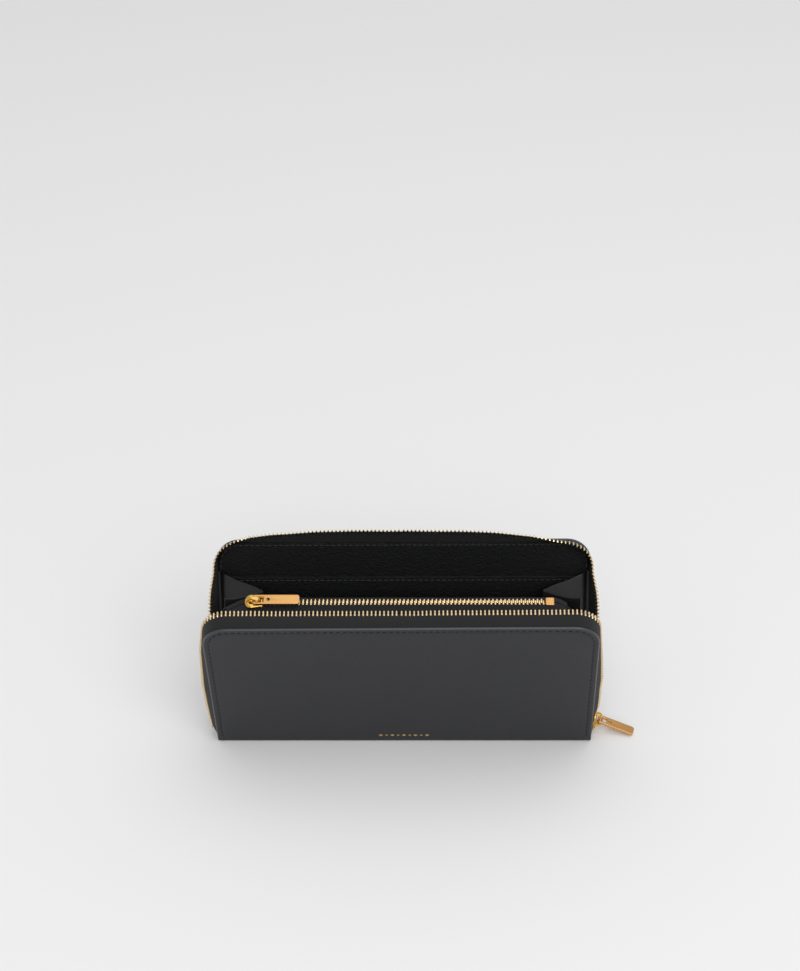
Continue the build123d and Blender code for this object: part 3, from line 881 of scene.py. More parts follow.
@dataclass
class Panel:
    """Leather panel of a cover with round top corners and rounded edges.

    It lies at a depth inside the cover's outer face, from a foot line to a top edge.
    """

    shape: WalletShape
    side: Side
    half_width: float
    foot: float
    top: float
    corner: float
    depth: float
    thickness: float
    soften: Callable[[float, float], float] = field(default=lambda across, rise: 0.0)
    step: float = 2.5
    seam: float = 0.0

    def build(self) -> bpy.types.Mesh:
        """Make the closed mesh.

        Returns:
            The panel, with a UV map in millimetres.
        """
        edge = self.thickness / 2
        insets = [0.0, 0.12 * edge, 0.45 * edge, edge]
        start = edge
        if self.seam:
            insets += [self.seam + d for d in (-0.9, -0.45, 0.0, 0.45, 0.9)]
            start = self.seam + 0.9
        count = max(1, round((self.corner - start) / 1.6))
        insets += [start + (self.corner - start) * (i + 1) / count for i in range(count)]
        turn_rise = self.top - self.corner
        turn_x = self.half_width - self.corner
        rises = [self.foot + d for d in np.linspace(0, turn_rise - self.foot,
                                                    max(2, round((turn_rise - self.foot) / self.step)) + 1)]
        if self.foot < 0:
            rises = sorted(set([self.foot, self.foot * 0.6] + list(np.linspace(-4, 4, 13))
                               + list(np.linspace(6, turn_rise, max(2, round(turn_rise / self.step))))))
        places = list(np.linspace(turn_x, -turn_x, max(2, round(2 * turn_x / (self.step * 1.4))) + 1))
        points: list[Point] = []
        uv: list[tuple[float, float]] = []
        faces: list[tuple[int, ...]] = []

        def add(across: float, rise: float, inset: float, sign: int) -> int:
            """Add one point on the outer (-1) or inner (+1) face."""
            level = edge + sign * edge * edge_share(inset, edge)
            if self.seam and sign < 0 and abs(inset - self.seam) < 0.5 and rise > 4:
                level += 0.22 if abs(inset - self.seam) < 0.1 else 0.09
            points.append(self.shape.point(self.side, across, rise,
                                           self.depth + level + self.soften(across, rise)))
            uv.append((across, rise))
            return len(points) - 1

        def loop(inset: float, sign: int) -> list[int]:
            """Add one run of points round the edge at an inset."""
            radius = self.corner - inset
            run = [add(self.half_width - inset, r, inset, sign) for r in rises]
            for i in range(1, 8):
                a = math.pi / 2 * i / 8
                run.append(add(turn_x + radius * math.cos(a), turn_rise + radius * math.sin(a), inset, sign))
            run += [add(x, self.top - inset, inset, sign) for x in places]
            for i in range(1, 8):
                a = math.pi / 2 * (1 + i / 8)
                run.append(add(-turn_x + radius * math.cos(a), turn_rise + radius * math.sin(a), inset, sign))
            run += [add(inset - self.half_width, r, inset, sign) for r in reversed(rises)]
            return run

        runs = [loop(d, -1) for d in reversed(insets)] + [loop(d, 1) for d in insets]
        for one, two in zip(runs, runs[1:]):
            faces += [(a, b, d, c) for a, b, c, d in zip(one, one[1:], two, two[1:])]
        grids = []
        for sign in (-1, 1):
            grid = [[add(x, r, self.corner, sign) for x in places] for r in rises]
            grids.append(grid)
            for low, high in zip(grid, grid[1:]):
                faces += [(a, b, d, c) for a, b, c, d in zip(low, low[1:], high, high[1:])]
        half = len(insets)
        for end in (0, -1):
            for k in range(half - 1):
                faces.append((runs[k][end], runs[k + 1][end], runs[-k - 2][end], runs[-k - 1][end]))
        faces += [(a, b, d, c) for a, b, c, d in zip(grids[0][0], grids[0][0][1:], grids[1][0], grids[1][0][1:])]
        return mesh_from(points, faces, uv)


def plate(outline: Sequence[tuple[float, float]], holes: Sequence[Sequence[tuple[float, float]]],
          thickness: float, bevel: float, place: Matrix) -> bpy.types.Mesh:
    """Cut a plate with bevelled edges from an outline with holes.

    Args:
        outline: Outer edge, in millimetres, in the plate's own plane.
        holes: Edges of the holes.
        thickness: Full thickness.
        bevel: Width of the rounded edges.
        place: Where the plate goes, in metres.

    Returns:
        The new mesh, in the CAD frame.
    """
    data = bpy.data.curves.new("plate", "CURVE")
    data.dimensions = "2D"
    data.fill_mode = "BOTH"
    data.extrude = (thickness / 2 - bevel) * MM
    data.bevel_depth = bevel * MM
    data.bevel_resolution = 2
    data.offset = -bevel * MM
    for ring in (outline, *holes):
        spline = data.splines.new("POLY")
        spline.points.add(len(ring) - 1)
        for point, (x, y) in zip(spline.points, ring):
            point.co = (x * MM, y * MM, 0, 1)
        spline.use_cyclic_u = True
    holder = bpy.data.objects.new("plate", data)
    bpy.context.scene.collection.objects.link(holder)
    graph = bpy.context.evaluated_depsgraph_get()
    mesh = bpy.data.meshes.new_from_object(holder.evaluated_get(graph))
    bpy.data.objects.remove(holder)
    work = bmesh.new()
    work.from_mesh(mesh)
    bmesh.ops.remove_doubles(work, verts=work.verts, dist=1e-7)
    bmesh.ops.recalc_face_normals(work, faces=work.faces)
    work.to_mesh(mesh)
    work.free()
    mesh.transform(place)
    return mesh


def joined(name: str, meshes: Sequence[bpy.types.Mesh], finish: bpy.types.Material) -> bpy.types.Object:
    """Join meshes of one finish into one object.

    Args:
        name: Name of the piece.
        meshes: Meshes to join.
        finish: Material of the piece.

    Returns:
        The new object.
    """
    work = bmesh.new()
    for mesh in meshes:
        work.from_mesh(mesh)
    result = bpy.data.meshes.new(name)
    work.to_mesh(result)
    work.free()
    return new_object(name, result, finish)


def circle(x: float, y: float, radius: float, steps: int = 20) -> list[tuple[float, float]]:
    """Points of a circle in order."""
    return [(x + radius * math.cos(2 * math.pi * i / steps), y + radius * math.sin(2 * math.pi * i / steps))
            for i in range(steps)]


def plane_matrix(origin: Vector, x_axis: Vector, z_axis: Vector) -> Matrix:
    """Matrix of a plane whose origin is in millimetres.

    Args:
        origin: Origin in millimetres.
        x_axis: Local X.
        z_axis: Local Z.

    Returns:
        The matrix in metres.
    """
    x, z = x_axis.normalized(), z_axis.normalized()
    y = z.cross(x)
    return Matrix.Translation(origin * MM) @ Matrix((x, y, z)).transposed().to_4x4()


# ---------------------------------------------------------------------------------------------
# Outer leather, linings and pockets


@dataclass
class CoverLeather:
    """One cover's outer leather with its half of the spine, folded in one piece, and its seam."""

    shape: WalletShape
    finishes: Finishes
    side: Side
    stitch_inset: float = 2.6
    stitch_pitch: float = 3.1

    def soften(self, across: float, rise: float) -> float:
        """Slow, slight waves of a soft skin over its board."""
        wave = noise.noise(Vector((across / 46, rise / 38, 3.7 + self.side.value)))
        return 0.22 * wave * smooth(rise, 4, 22)

    def build(self) -> bpy.types.Object:
        """Make the leather and the seam round its edge."""
        panel = Panel(self.shape, self.side, self.shape.width / 2, -self.shape.depth / 2, self.shape.height,
                      self.shape.corner, 0.0, self.shape.leather, self.soften, seam=self.stitch_inset)
        leather = new_object(f"{self.side.label}_cover_leather", panel.build(), self.finishes.calf)
        self.shape.blend_cover(leather, self.side, (8.0, 0.0), (12.65, 5.77))
        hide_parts(f"{self.side.label}_leather", "spine_leather")
        rail = []
        outward = -self.shape.axes(self.side)[2]
        for station in rim(self.shape, self.stitch_inset, 5.0, 3.0):
            point = self.shape.point(self.side, station.across, station.rise,
                                     self.soften(station.across, station.rise) + 0.10)
            rail.append((point, outward))
        seam = RowMaker(f"{self.side.label}_edge_stitches", stitch_seed(self.finishes.thread, 2.1, 0.46),
                        self.finishes.thread, self.stitch_pitch).make([rail])
        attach(seam, self.side.body)
        self.painted_edge()
        return leather

    def painted_edge(self) -> None:
        """Make the bead of edge paint that closes the leather's cut edge. Its grey is lighter than the calf, a
        painted highlight along the rim.
        """
        loops = []
        _, up_axis, inward = self.shape.axes(self.side)
        for p in rim(self.shape, 0.42, 6.0, 2.0):
            middle = Vector(self.shape.point(self.side, p.across, p.rise,
                                             self.shape.leather / 2 + self.soften(p.across, p.rise)))
            out = Vector((p.out_x, 0, 0)) + up_axis * p.out_up
            loops.append([tuple(middle + out * (0.56 * math.cos(a)) + inward * (0.615 * math.sin(a)))
                          for a in (2 * math.pi * i / 12 for i in range(12))])
        # The bead's lighter grey is a painted highlight on the leather's rounded rim.
        bead = new_object(f"{self.side.label}_edge_paint", skin(loops), self.finishes.edge, 180)
        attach(bead, self.side.body)


@dataclass
class CoverInside:
    """Lining, slip pocket and three card slots of one cover."""

    shape: WalletShape
    finishes: Finishes
    side: Side
    slots: tuple[tuple[str, float, float], ...] = (
        ("upper", 60.0, 3.6), ("middle", 48.0, 4.1), ("lower", 36.0, 4.6))

    def relief(self, seed: float, low: float, high: float) -> Callable[[float, float], float]:
        """Softness of a pocket: its top edge stands off a little between the side seams.

        Args:
            seed: Number that sets the waves.
            low: Height of the foot.
            high: Height of the top edge.

        Returns:
            Extra depth at a place.
        """
        def soften(across: float, rise: float) -> float:
            """Extra depth at a place."""
            belly = max(0.0, 1 - (across / 88.0) ** 2) * smooth(rise, low, high)
            wave = noise.noise(Vector((across / 30, rise / 60, seed)))
            return 0.28 * belly + 0.16 * wave * belly
        return soften

    def build(self) -> None:
        """Make the pieces and their seams."""
        label = self.side.label
        lining = Panel(self.shape, self.side, self.shape.width / 2 - 1.05, -self.shape.depth / 2,
                       self.shape.height - 1.05, self.shape.corner - 1.05, 1.7, 0.8)
        piece = new_object(f"{label}_cover_lining", lining.build(), self.finishes.pebbled)
        self.shape.blend_cover(piece, self.side, (8.0, 0.0), (12.65, 5.77))
        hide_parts(f"{label}_lining", "spine_lining")
        pocket = Panel(self.shape, self.side, 88.5, 4.0, 76.0, 3.0, 2.9, 0.7, self.relief(1.3, 10, 76))
        piece = new_object(f"{label}_pocket_panel", pocket.build(), self.finishes.pebbled)
        ride_and_stand_for(piece, self.side.body, [f"{label}_slip_pocket"])
        inward = self.shape.axes(self.side)[2]
        rails = []
        relief = self.relief(1.3, 10, 76)
        rails.append([(self.shape.point(self.side, x, 74.0, 3.62 + relief(x, 74.0)), inward)
                      for x in np.linspace(-87, 87, 60)])
        rails.append([(self.shape.point(self.side, p.across, p.rise, 2.52), inward)
                      for p in rim(self.shape, 2.4, 78.0, 3.0)])
        for number, (name, top, depth) in enumerate(self.slots):
            relief = self.relief(2.1 + number, top - 30, top)
            slot_panel = Panel(self.shape, self.side, 88.0, 5.2, top, 2.0, depth + 0.03, 0.44, relief)
            piece = new_object(f"{label}_card_panel_{name}", slot_panel.build(), self.finishes.pebbled)
            ride_and_stand_for(piece, self.side.body, [f"{label}_card_slot_{name}"])
            rails.append([(self.shape.point(self.side, x, top - 1.8, depth + 0.5 + relief(x, top - 1.8)), inward)
                          for x in np.linspace(-86, 86, 60)])
        rails.append([(self.shape.point(self.side, 0.0, v, 5.12), inward) for v in np.linspace(7, 34, 10)])
        seam = RowMaker(f"{label}_pocket_stitches", stitch_seed(self.finishes.inner_thread, 2.1, 0.36),
                        self.finishes.inner_thread, 2.9).make(rails)
        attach(seam, self.side.body)


# ---------------------------------------------------------------------------------------------
# The long zip round both covers


@dataclass
class CoverZip:
    """Tape and tooth row of one cover, leaning differently along the way as the soft tape does."""

    shape: WalletShape
    finishes: Finishes
    side: Side
    slider_at: Point
    web: float = 7.0
    tooth: float = 2.8
    back_tooth: float = 2.95
    pitch: float = 1.95
    twist: float = 10.0

    def lean(self, across: float, rise: float) -> float:
        """Angle in degrees between the cover's plane and the tape at a place on the rim.

        Args:
            across: Place along X.
            rise: Height up the cover.

        Returns:
            The lean, 90 where the tape stands square to the cover.
        """
        half, top = self.shape.width / 2, self.shape.height
        if self.side is Side.BACK:
            over = ((-86, 80), (-76, 59), (-64, 49), (-51, 42), (-37, 37), (0, 36), (35, 40), (48, 46),
                    (62, 57), (73, 70), (86, 84))
            up = ((5, 72), (59, 64), (64, 66), (70, 71), (75, 78), (80, 85), (90, 88))
        else:
            over = ((-86, 84), (-70, 86), (0, 89), (70, 88), (86, 86))
            left = across < 0
            up = ((5, 60), (22, 54), (43, 54), (52, 58), (65, 63), (82, 80)) if left else \
                 ((5, 70), (10, 67), (42, 62), (51, 66), (64, 72), (82, 82))
        side_lean = float(np.interp(rise, [p[0] for p in up], [p[1] for p in up]))
        top_lean = float(np.interp(across, [p[0] for p in over], [p[1] for p in over]))
        share = smooth(rise, top - self.shape.corner, top)
        share = share if abs(across) > half - self.shape.corner else 1.0
        return side_lean + (top_lean - side_lean) * share

    def stations(self, foot: float) -> list[tuple[RimPoint, Vector, Vector, Vector]]:
        """Sections of the tape round the cover.

        Args:
            foot: Height where the row starts on both sides.

        Returns:
            Each rim point with the seam place, the tooth root and the direction of the teeth.
        """
        result = []
        side_x, up_axis, inward = self.shape.axes(self.side)
        turn = math.radians(self.twist)
        across_slider = Vector((math.sin(turn), math.cos(turn), 0))
        slider = Vector(self.slider_at)
        for p in rim(self.shape, 0.6, foot, 1.2):
            out = side_x * p.out_x + up_axis * p.out_up
            lean = math.radians(self.lean(p.across, p.rise))
            wobble = 0.03 * noise.noise(Vector((p.share * 31, self.side.value, 0.4)))
            lean += wobble
            seam = Vector(self.shape.point(self.side, p.across, p.rise, 1.45))
            heading = out * math.cos(lean) + inward * math.sin(lean)
            root = seam + heading * self.web
            pull_in = 1 - smooth(p.rise, 6.5, 17.0)
            if p.across > 0 and pull_in > 0:
                target = slider + across_slider * (self.side.value * (self.tooth - 0.3 + 1.4 * (1 - pull_in)))
                target.z = root.z - 0.5 * pull_in
                target.x -= 0.15
                root = root.lerp(target, pull_in)
                aim = across_slider * -self.side.value
                heading = heading.lerp(aim, pull_in * 0.85).normalized()
            result.append((p, seam, root, heading))
        return result

    def build(self) -> None:
        """Make the tape, the tooth row and the top stop."""
        shape, label = self.shape, self.side.label
        inward = shape.axes(self.side)[2]
        grid: list[list[Point]] = []
        flat: list[list[tuple[float, float]]] = []
        travel, last = 0.0, None
        stations = self.stations(3.6)
        for p, seam, root, heading in stations:
            travel += (root - last).length if last is not None else 0.0
            last = root.copy()
            out = (shape.axes(self.side)[0] * p.out_x + shape.axes(self.side)[1] * p.out_up)
            row = [seam - out * 5.2, seam - out * 2.6, seam - out * 0.8]
            knee = seam + (out * 0.9 + inward * 0.15) * 1.6
            bow = (seam + root) / 2 + (knee - seam) * 0.35
            for share in (0.0, 0.12, 0.25, 0.4, 0.55, 0.7, 0.85, 1.0):
                a, b = seam.lerp(bow, share), bow.lerp(root, share)
                row.append(a.lerp(b, share))
            row.append(root + heading * 0.45)
            row.append(root + heading * 0.9)
            grid.append([tuple(v) for v in row])
            widths = [0.0]
            for a, b in zip(row, row[1:]):
                widths.append(widths[-1] + (b - a).length)
            flat.append([(w, travel) for w in widths])
        middle = len(stations) // 2
        start = 11 + 3.0 * 0.2756, 3.0 * 0.961
        end = 11 + 18.0 * 0.2756, 18.0 * 0.961
        rail = [(tuple(root), heading) for p, _, root, heading in self.stations(5.2)
                if p.across < 0 or p.rise > 8.5]
        lengths = np.cumsum([0.0] + [math.dist(a[0], b[0]) for a, b in zip(rail, rail[1:])])
        half = min(range(len(rail)), key=lambda i: abs(rail[i][0][0]))
        gap = next(i for i in range(half, len(rail)) if lengths[i] - lengths[half] >= self.pitch * 0.98)
        for name, rows, run in (("right", slice(0, middle + 1), rail[:half + 1]),
                                ("left", slice(middle, None), rail[gap:])):
            tape = new_object(f"{label}_long_tape_{name}", leaf(grid[rows], 0.5, flat[rows], (False,) * 4),
                              self.finishes.tape)
            length = self.tooth if self.side is Side.FRONT else self.back_tooth
            row = RowMaker(f"{label}_long_teeth_{name}", tooth_seed(self.finishes.teeth, length),
                           self.finishes.teeth, self.pitch).make([run])
            for piece, slot, node in ((tape, "zip_tape", "zip_tape"), (row, "polished_gold", "zip_teeth")):
                if name == "right":
                    shape.blend_cover(piece, self.side, start, end)
                else:
                    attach(piece, self.side.body)
                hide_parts(f"{label}_{node}")
        _, _, root, heading = next(s for s in self.stations(4.0) if s[0].across < 0 and s[0].rise < 5.2)
        up_axis = shape.axes(self.side)[1]
        stop = new_object(f"{label}_row_stop", plate(round_rect(2.6, 3.0, 0.5), [], 1.7, 0.25, plane_matrix(
            root + heading * 1.2 - up_axis * 1.0, heading, heading.cross(up_axis))), self.finishes.teeth)
        ride_and_stand_for(stop, self.side.body, [f"{label}_top_stop"])


# ---------------------------------------------------------------------------------------------
# Gussets


@dataclass
class Gusset:
    """Folded side wall between a cover and the divider, its fold pushed into the wallet."""

    shape: WalletShape
    finishes: Finishes
    side: Side
    across: int
    low: float = 3.2
    high: float = 75.2
    thickness: float = 0.8

    def profile(self, height: float) -> list[Point]:
        """Rounded fold line of the gusset at a height, from the cover to the divider."""
        share = (height - self.low) / (self.high - self.low)
        apex_x = 66.5 + (69.6 - 66.5) * share
        apex_y = 5.3 + (15.0 - 5.3) * share
        tilt = math.radians(self.shape.tilt)

        def cover(depth: float) -> float:
            """Distance from the wallet's middle to a depth inside the cover."""
            rise = (height - depth * math.sin(tilt)) / math.cos(tilt)
            return self.shape.depth / 2 + rise * math.sin(tilt) - depth * math.cos(tilt)

        wall = 1.65 + (height - 2.5) * 0.05378 + 0.9
        turn = Vector((89.9, cover(5.75)))
        apex_out, apex_in = Vector((apex_x, apex_y + 0.6)), Vector((apex_x, apex_y - 0.6))
        end = Vector((87.6, wall))
        sag = 0.9 * share
        corners = [Vector((93.0, cover(2.92))), Vector((91.6, cover(2.92)))]
        corners += [Vector((91.0, cover(3.6))), turn]
        corners += [turn.lerp(apex_out, t) + Vector((-0.1, sag * math.sin(math.pi * t)))
                    for t in (0.12, 0.35, 0.6, 0.85)]
        corners += [apex_out + Vector((1.4, 0.25)), apex_out, apex_in, apex_in + Vector((1.4, -0.25))]
        corners += [apex_in.lerp(end, t) - Vector((0, 0.5 * sag * math.sin(math.pi * t)))
                    for t in (0.15, 0.4, 0.65, 0.88)]
        corners.append(end)
        for _ in range(2):
            cut = [corners[0]]
            for a, b in zip(corners, corners[1:]):
                cut += [a.lerp(b, 0.25), a.lerp(b, 0.75)]
            corners = cut + [corners[-1]]
        wave = 0.35 * noise.noise(Vector((height / 22, self.across * 2.0, self.side.value * 1.7)))
        return [(self.across * c.x, self.side.value * (c.y + wave * math.sin(math.pi * i / (len(corners) - 1))),
                 height) for i, c in enumerate(corners)]

    def build(self) -> None:
        """Make the gusset."""
        grid, flat = [], []
        for level in spread(self.high - self.low, 3.0, self.thickness / 2):
            line = self.profile(self.low + level)
            lift = [1.6 * smooth(level, 40, 72) * math.exp(-((abs(x) - 90) / 5.0) ** 2) for x, _, _ in line]
            grid.append([(x, y + self.side.value * d * 0.27, z + d) for (x, y, z), d in zip(line, lift)])
            run = [0.0]
            for a, b in zip(line, line[1:]):
                run.append(run[-1] + math.dist(a, b))
            flat.append([(d, self.low + level) for d in run])
        name = "left" if self.across < 0 else "right"
        piece = new_object(f"{self.side.label}_gusset_leaf_{name}", leaf(grid, self.thickness, flat,
                           (True, True, False, False)), self.finishes.nappa, 60)
        tilt = math.radians(self.shape.tilt)
        middle = 40.0
        wall_y = 1.65 + (middle - 2.5) * 0.05378
        cover_y = self.shape.depth / 2 + middle * math.tan(tilt) - 2.9 / math.cos(tilt)
        lean = math.tan(math.radians(8.0))
        self.shape.blend_cover(piece, self.side, (wall_y, middle),
                               (cover_y, middle - (cover_y - wall_y) * lean))
        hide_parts(f"gusset_{self.side.label}_{name}")


# ---------------------------------------------------------------------------------------------
# Divider with the coin pocket and its short zip


@dataclass
class Divider:
    """Coin pocket that divides the wallet: two leather walls, bound ends and a zip between them."""

    shape: WalletShape
    finishes: Finishes
    half_width: float = 88.0
    wall: float = 0.9
    foot: float = 2.55
    front_top: float = 75.7
    back_top: float = 77.4
    zip_height: float = 78.7
    zip_tilt: float = 26.0
    pitch: float = 1.95
    stop_x: float = 72.0
    slider_x: float = -72.2
    left_sink: float = 4.6
    right_sink: float = 9.0
    left_end: float = 68.3
    right_end: float = 63.4
    row_tooth: float = 2.25
    row_overlap: float = 0.85

    def wall_y(self, height: float) -> float:
        """Distance of a wall's middle from the wallet's middle at a height."""
        return 1.65 + (height - 2.5) * 0.05378

    @property
    def across_axis(self) -> Vector:
        """Direction in the zip's plane from the front tape to the back tape."""
        turn = math.radians(self.zip_tilt)
        return Vector((0, math.cos(turn), math.sin(turn)))

    @property
    def out_axis(self) -> Vector:
        """Direction out of the pocket, square to the zip's plane."""
        turn = math.radians(self.zip_tilt)
        return Vector((0, -math.sin(turn), math.cos(turn)))

    def zip_point(self, x: float, across: float, out: float = 0.0) -> Vector:
        """Place on the zip, in millimetres."""
        return Vector((x, 0, self.zip_height)) + self.across_axis * across + self.out_axis * out

    def drop(self, x: float) -> float:
        """How far the pocket's top sinks towards its two ends."""
        return (self.left_sink if x < 0 else self.right_sink) * smooth(abs(x), 73.5, 90.0)

    def pinch(self, height: float) -> float:
        """How far the back wall leans in to the zip at a height."""
        return 2.2 * smooth(height, 61.0, 77.5)

    def sway(self, x: float, height: float) -> float:
        """Slight waves of the pocket's walls along the width."""
        return 0.35 * noise.noise(Vector((x / 40, height / 50, 9.1))) * smooth(height, 10, 60)

    def walls(self) -> None:
        """Make the two walls and their top seams."""
        rails = []
        for across, top in ((-1, self.front_top), (1, self.back_top)):
            name = "front" if across < 0 else "back"
            levels = [self.foot + d for d in spread(top - self.foot, 4.0, self.wall / 2, False, True)]
            places = [d - self.half_width for d in spread(2 * self.half_width, 4.0, self.wall / 2)]
            lean = self.pinch if across > 0 else (lambda height: 0.0)
            grid = [[(x, across * (self.wall_y(z) - lean(z)) + self.sway(x, z),
                      z - self.drop(x) * smooth(z, 40.0, top)) for x in places] for z in levels]
            flat = [[(x, z) for x in places] for z in levels]
            piece = new_object(f"divider_wall_{name}", leaf(grid, self.wall, flat, (False, True, True, True)),
                               self.finishes.nappa, 60)
            ride_and_stand_for(piece, "spine", [f"divider_{name}_wall"])
            height = top - 2.0
            outward = Vector((0, across, -0.054))
            rails.append([((x, across * (self.wall_y(height) - lean(height) + self.wall / 2 + 0.02)
                            + self.sway(x, height), height - self.drop(x)), outward)
                          for x in np.linspace(-86.5, 86.5, 60)])
        seam = RowMaker("divider_stitches", stitch_seed(self.finishes.thread, 1.9, 0.32),
                        self.finishes.thread, 2.8).make(rails)
        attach(seam, "spine")

    def ends(self) -> None:
        """Make the bound ends, folded leather strips with a rounded top corner."""
        for across in (-1, 1):
            name = "left" if across < 0 else "right"
            top = self.left_end if across < 0 else self.right_end
            loops = []
            for height in spread(top, 5.0, 0.8, False, True):
                z = height + self.foot + 0.05
                share = max(0.35, edge_share(top - height, 2.0))
                width = 2 * (self.wall_y(z) + self.wall / 2) * share
                loops.append([(across * (self.half_width + 0.4) + a, b, z)
                              for a, b in round_rect(0.8, width, 0.39, 3)])
            piece = new_object(f"divider_binding_{name}", skin(loops), self.finishes.nappa)
            ride_and_stand_for(piece, "spine", [f"divider_end_{name}"])

    def tapes(self) -> None:
        """Make the two tapes, sewn inside the walls and bent over to the zip."""
        root = self.row_tooth - self.row_overlap
        for across in (-1, 1):
            name = "front" if across < 0 else "back"
            inner = 0.72
            reach = (self.wall_y(self.zip_height) - inner) / math.cos(math.radians(self.zip_tilt))
            reach /= 1 - across * math.tan(math.radians(self.zip_tilt)) * 0.05378
            knee = self.zip_point(0, across * reach)
            if across > 0:
                knee = self.zip_point(0, 2.7, -0.2)
            low = knee.z - (6.5 if across > 0 else 5.0)
            lean = self.pinch if across > 0 else (lambda height: 0.0)
            line = [Vector((across * (self.wall_y(low) - lean(low) - inner), low)),
                    Vector((across * (self.wall_y(knee.z - 2.4) - lean(knee.z - 2.4) - inner), knee.z - 2.4))]
            line += [Vector((knee.y, knee.z)), Vector((knee.y, knee.z)).lerp(
                Vector(self.zip_point(0, across * root).yz), 0.5)]
            line.append(Vector(self.zip_point(0, across * (root - 1.2)).yz))
            for _ in range(2):
                cut = [line[0]]
                for a, b in zip(line, line[1:]):
                    cut += [a.lerp(b, 0.25), a.lerp(b, 0.75)]
                line = cut + [line[-1]]
            run = [0.0]
            for a, b in zip(line, line[1:]):
                run.append(run[-1] + (b - a).length)
            places = [d - 86.0 for d in spread(166.5, 3.0, 0.25)]
            grid = [[(x, p.x + self.sway(x, 76.0) * 0.6, p.y - self.drop(x)
                      - 1.2 * max(0.0, (-77.5 - x) / 8.5) ** 1.6) for p in line] for x in places]
            flat = [[(d, x) for d in run] for x in places]
            piece = new_object(f"coin_zip_tape_{name}", leaf(grid, 0.46, flat, (True, True, False, False)),
                               self.finishes.tape, 60)
            ride_and_stand_for(piece, "spine", [f"divider_{name}_tape"])

    def chain(self) -> None:
        """Make the two interlocked tooth rows and the stops at both ends."""
        root = self.row_tooth - self.row_overlap
        first, last = self.slider_x + 0.4, self.stop_x - 2.1 - self.pitch / 2
        for across in (-1, 1):
            name = "front" if across < 0 else "back"
            start = last - (self.pitch / 2 if across > 0 else 0)
            rail = [(tuple(self.zip_point(x, across * root)), self.across_axis * -across)
                    for x in np.linspace(start, first, 40)]
            row = RowMaker(f"coin_zip_teeth_{name}", tooth_seed(self.finishes.teeth, self.row_tooth),
                           self.finishes.teeth, self.pitch).make([rail])
            ride_and_stand_for(row, "spine", [f"divider_{name}_teeth"])
        frame = plane_matrix(self.zip_point(self.stop_x, 0), Vector((1, 0, 0)), self.out_axis)
        stop = new_object("coin_zip_box_stop", plate(round_rect(4.2, 4.2, 0.6), [], 1.9, 0.3, frame),
                          self.finishes.satin)
        ride_and_stand_for(stop, "spine", ["divider_bottom_stop"])
        ends = [plate(round_rect(1.8, 1.4, 0.45), [], 1.6, 0.25,
                      plane_matrix(self.zip_point(-75.2, y * 0.75, -0.1), Vector((1, 0, 0)), self.out_axis))
                for y in (1.45, -1.45)]
        stops = joined("coin_zip_end_stops", ends, self.finishes.teeth)
        ride_and_stand_for(stops, "spine", ["divider_top_stops"])

    def build(self) -> None:
        """Make the whole divider."""
        self.walls()
        self.ends()
        self.tapes()
        self.chain()


# ---------------------------------------------------------------------------------------------
# Sliders and pulls


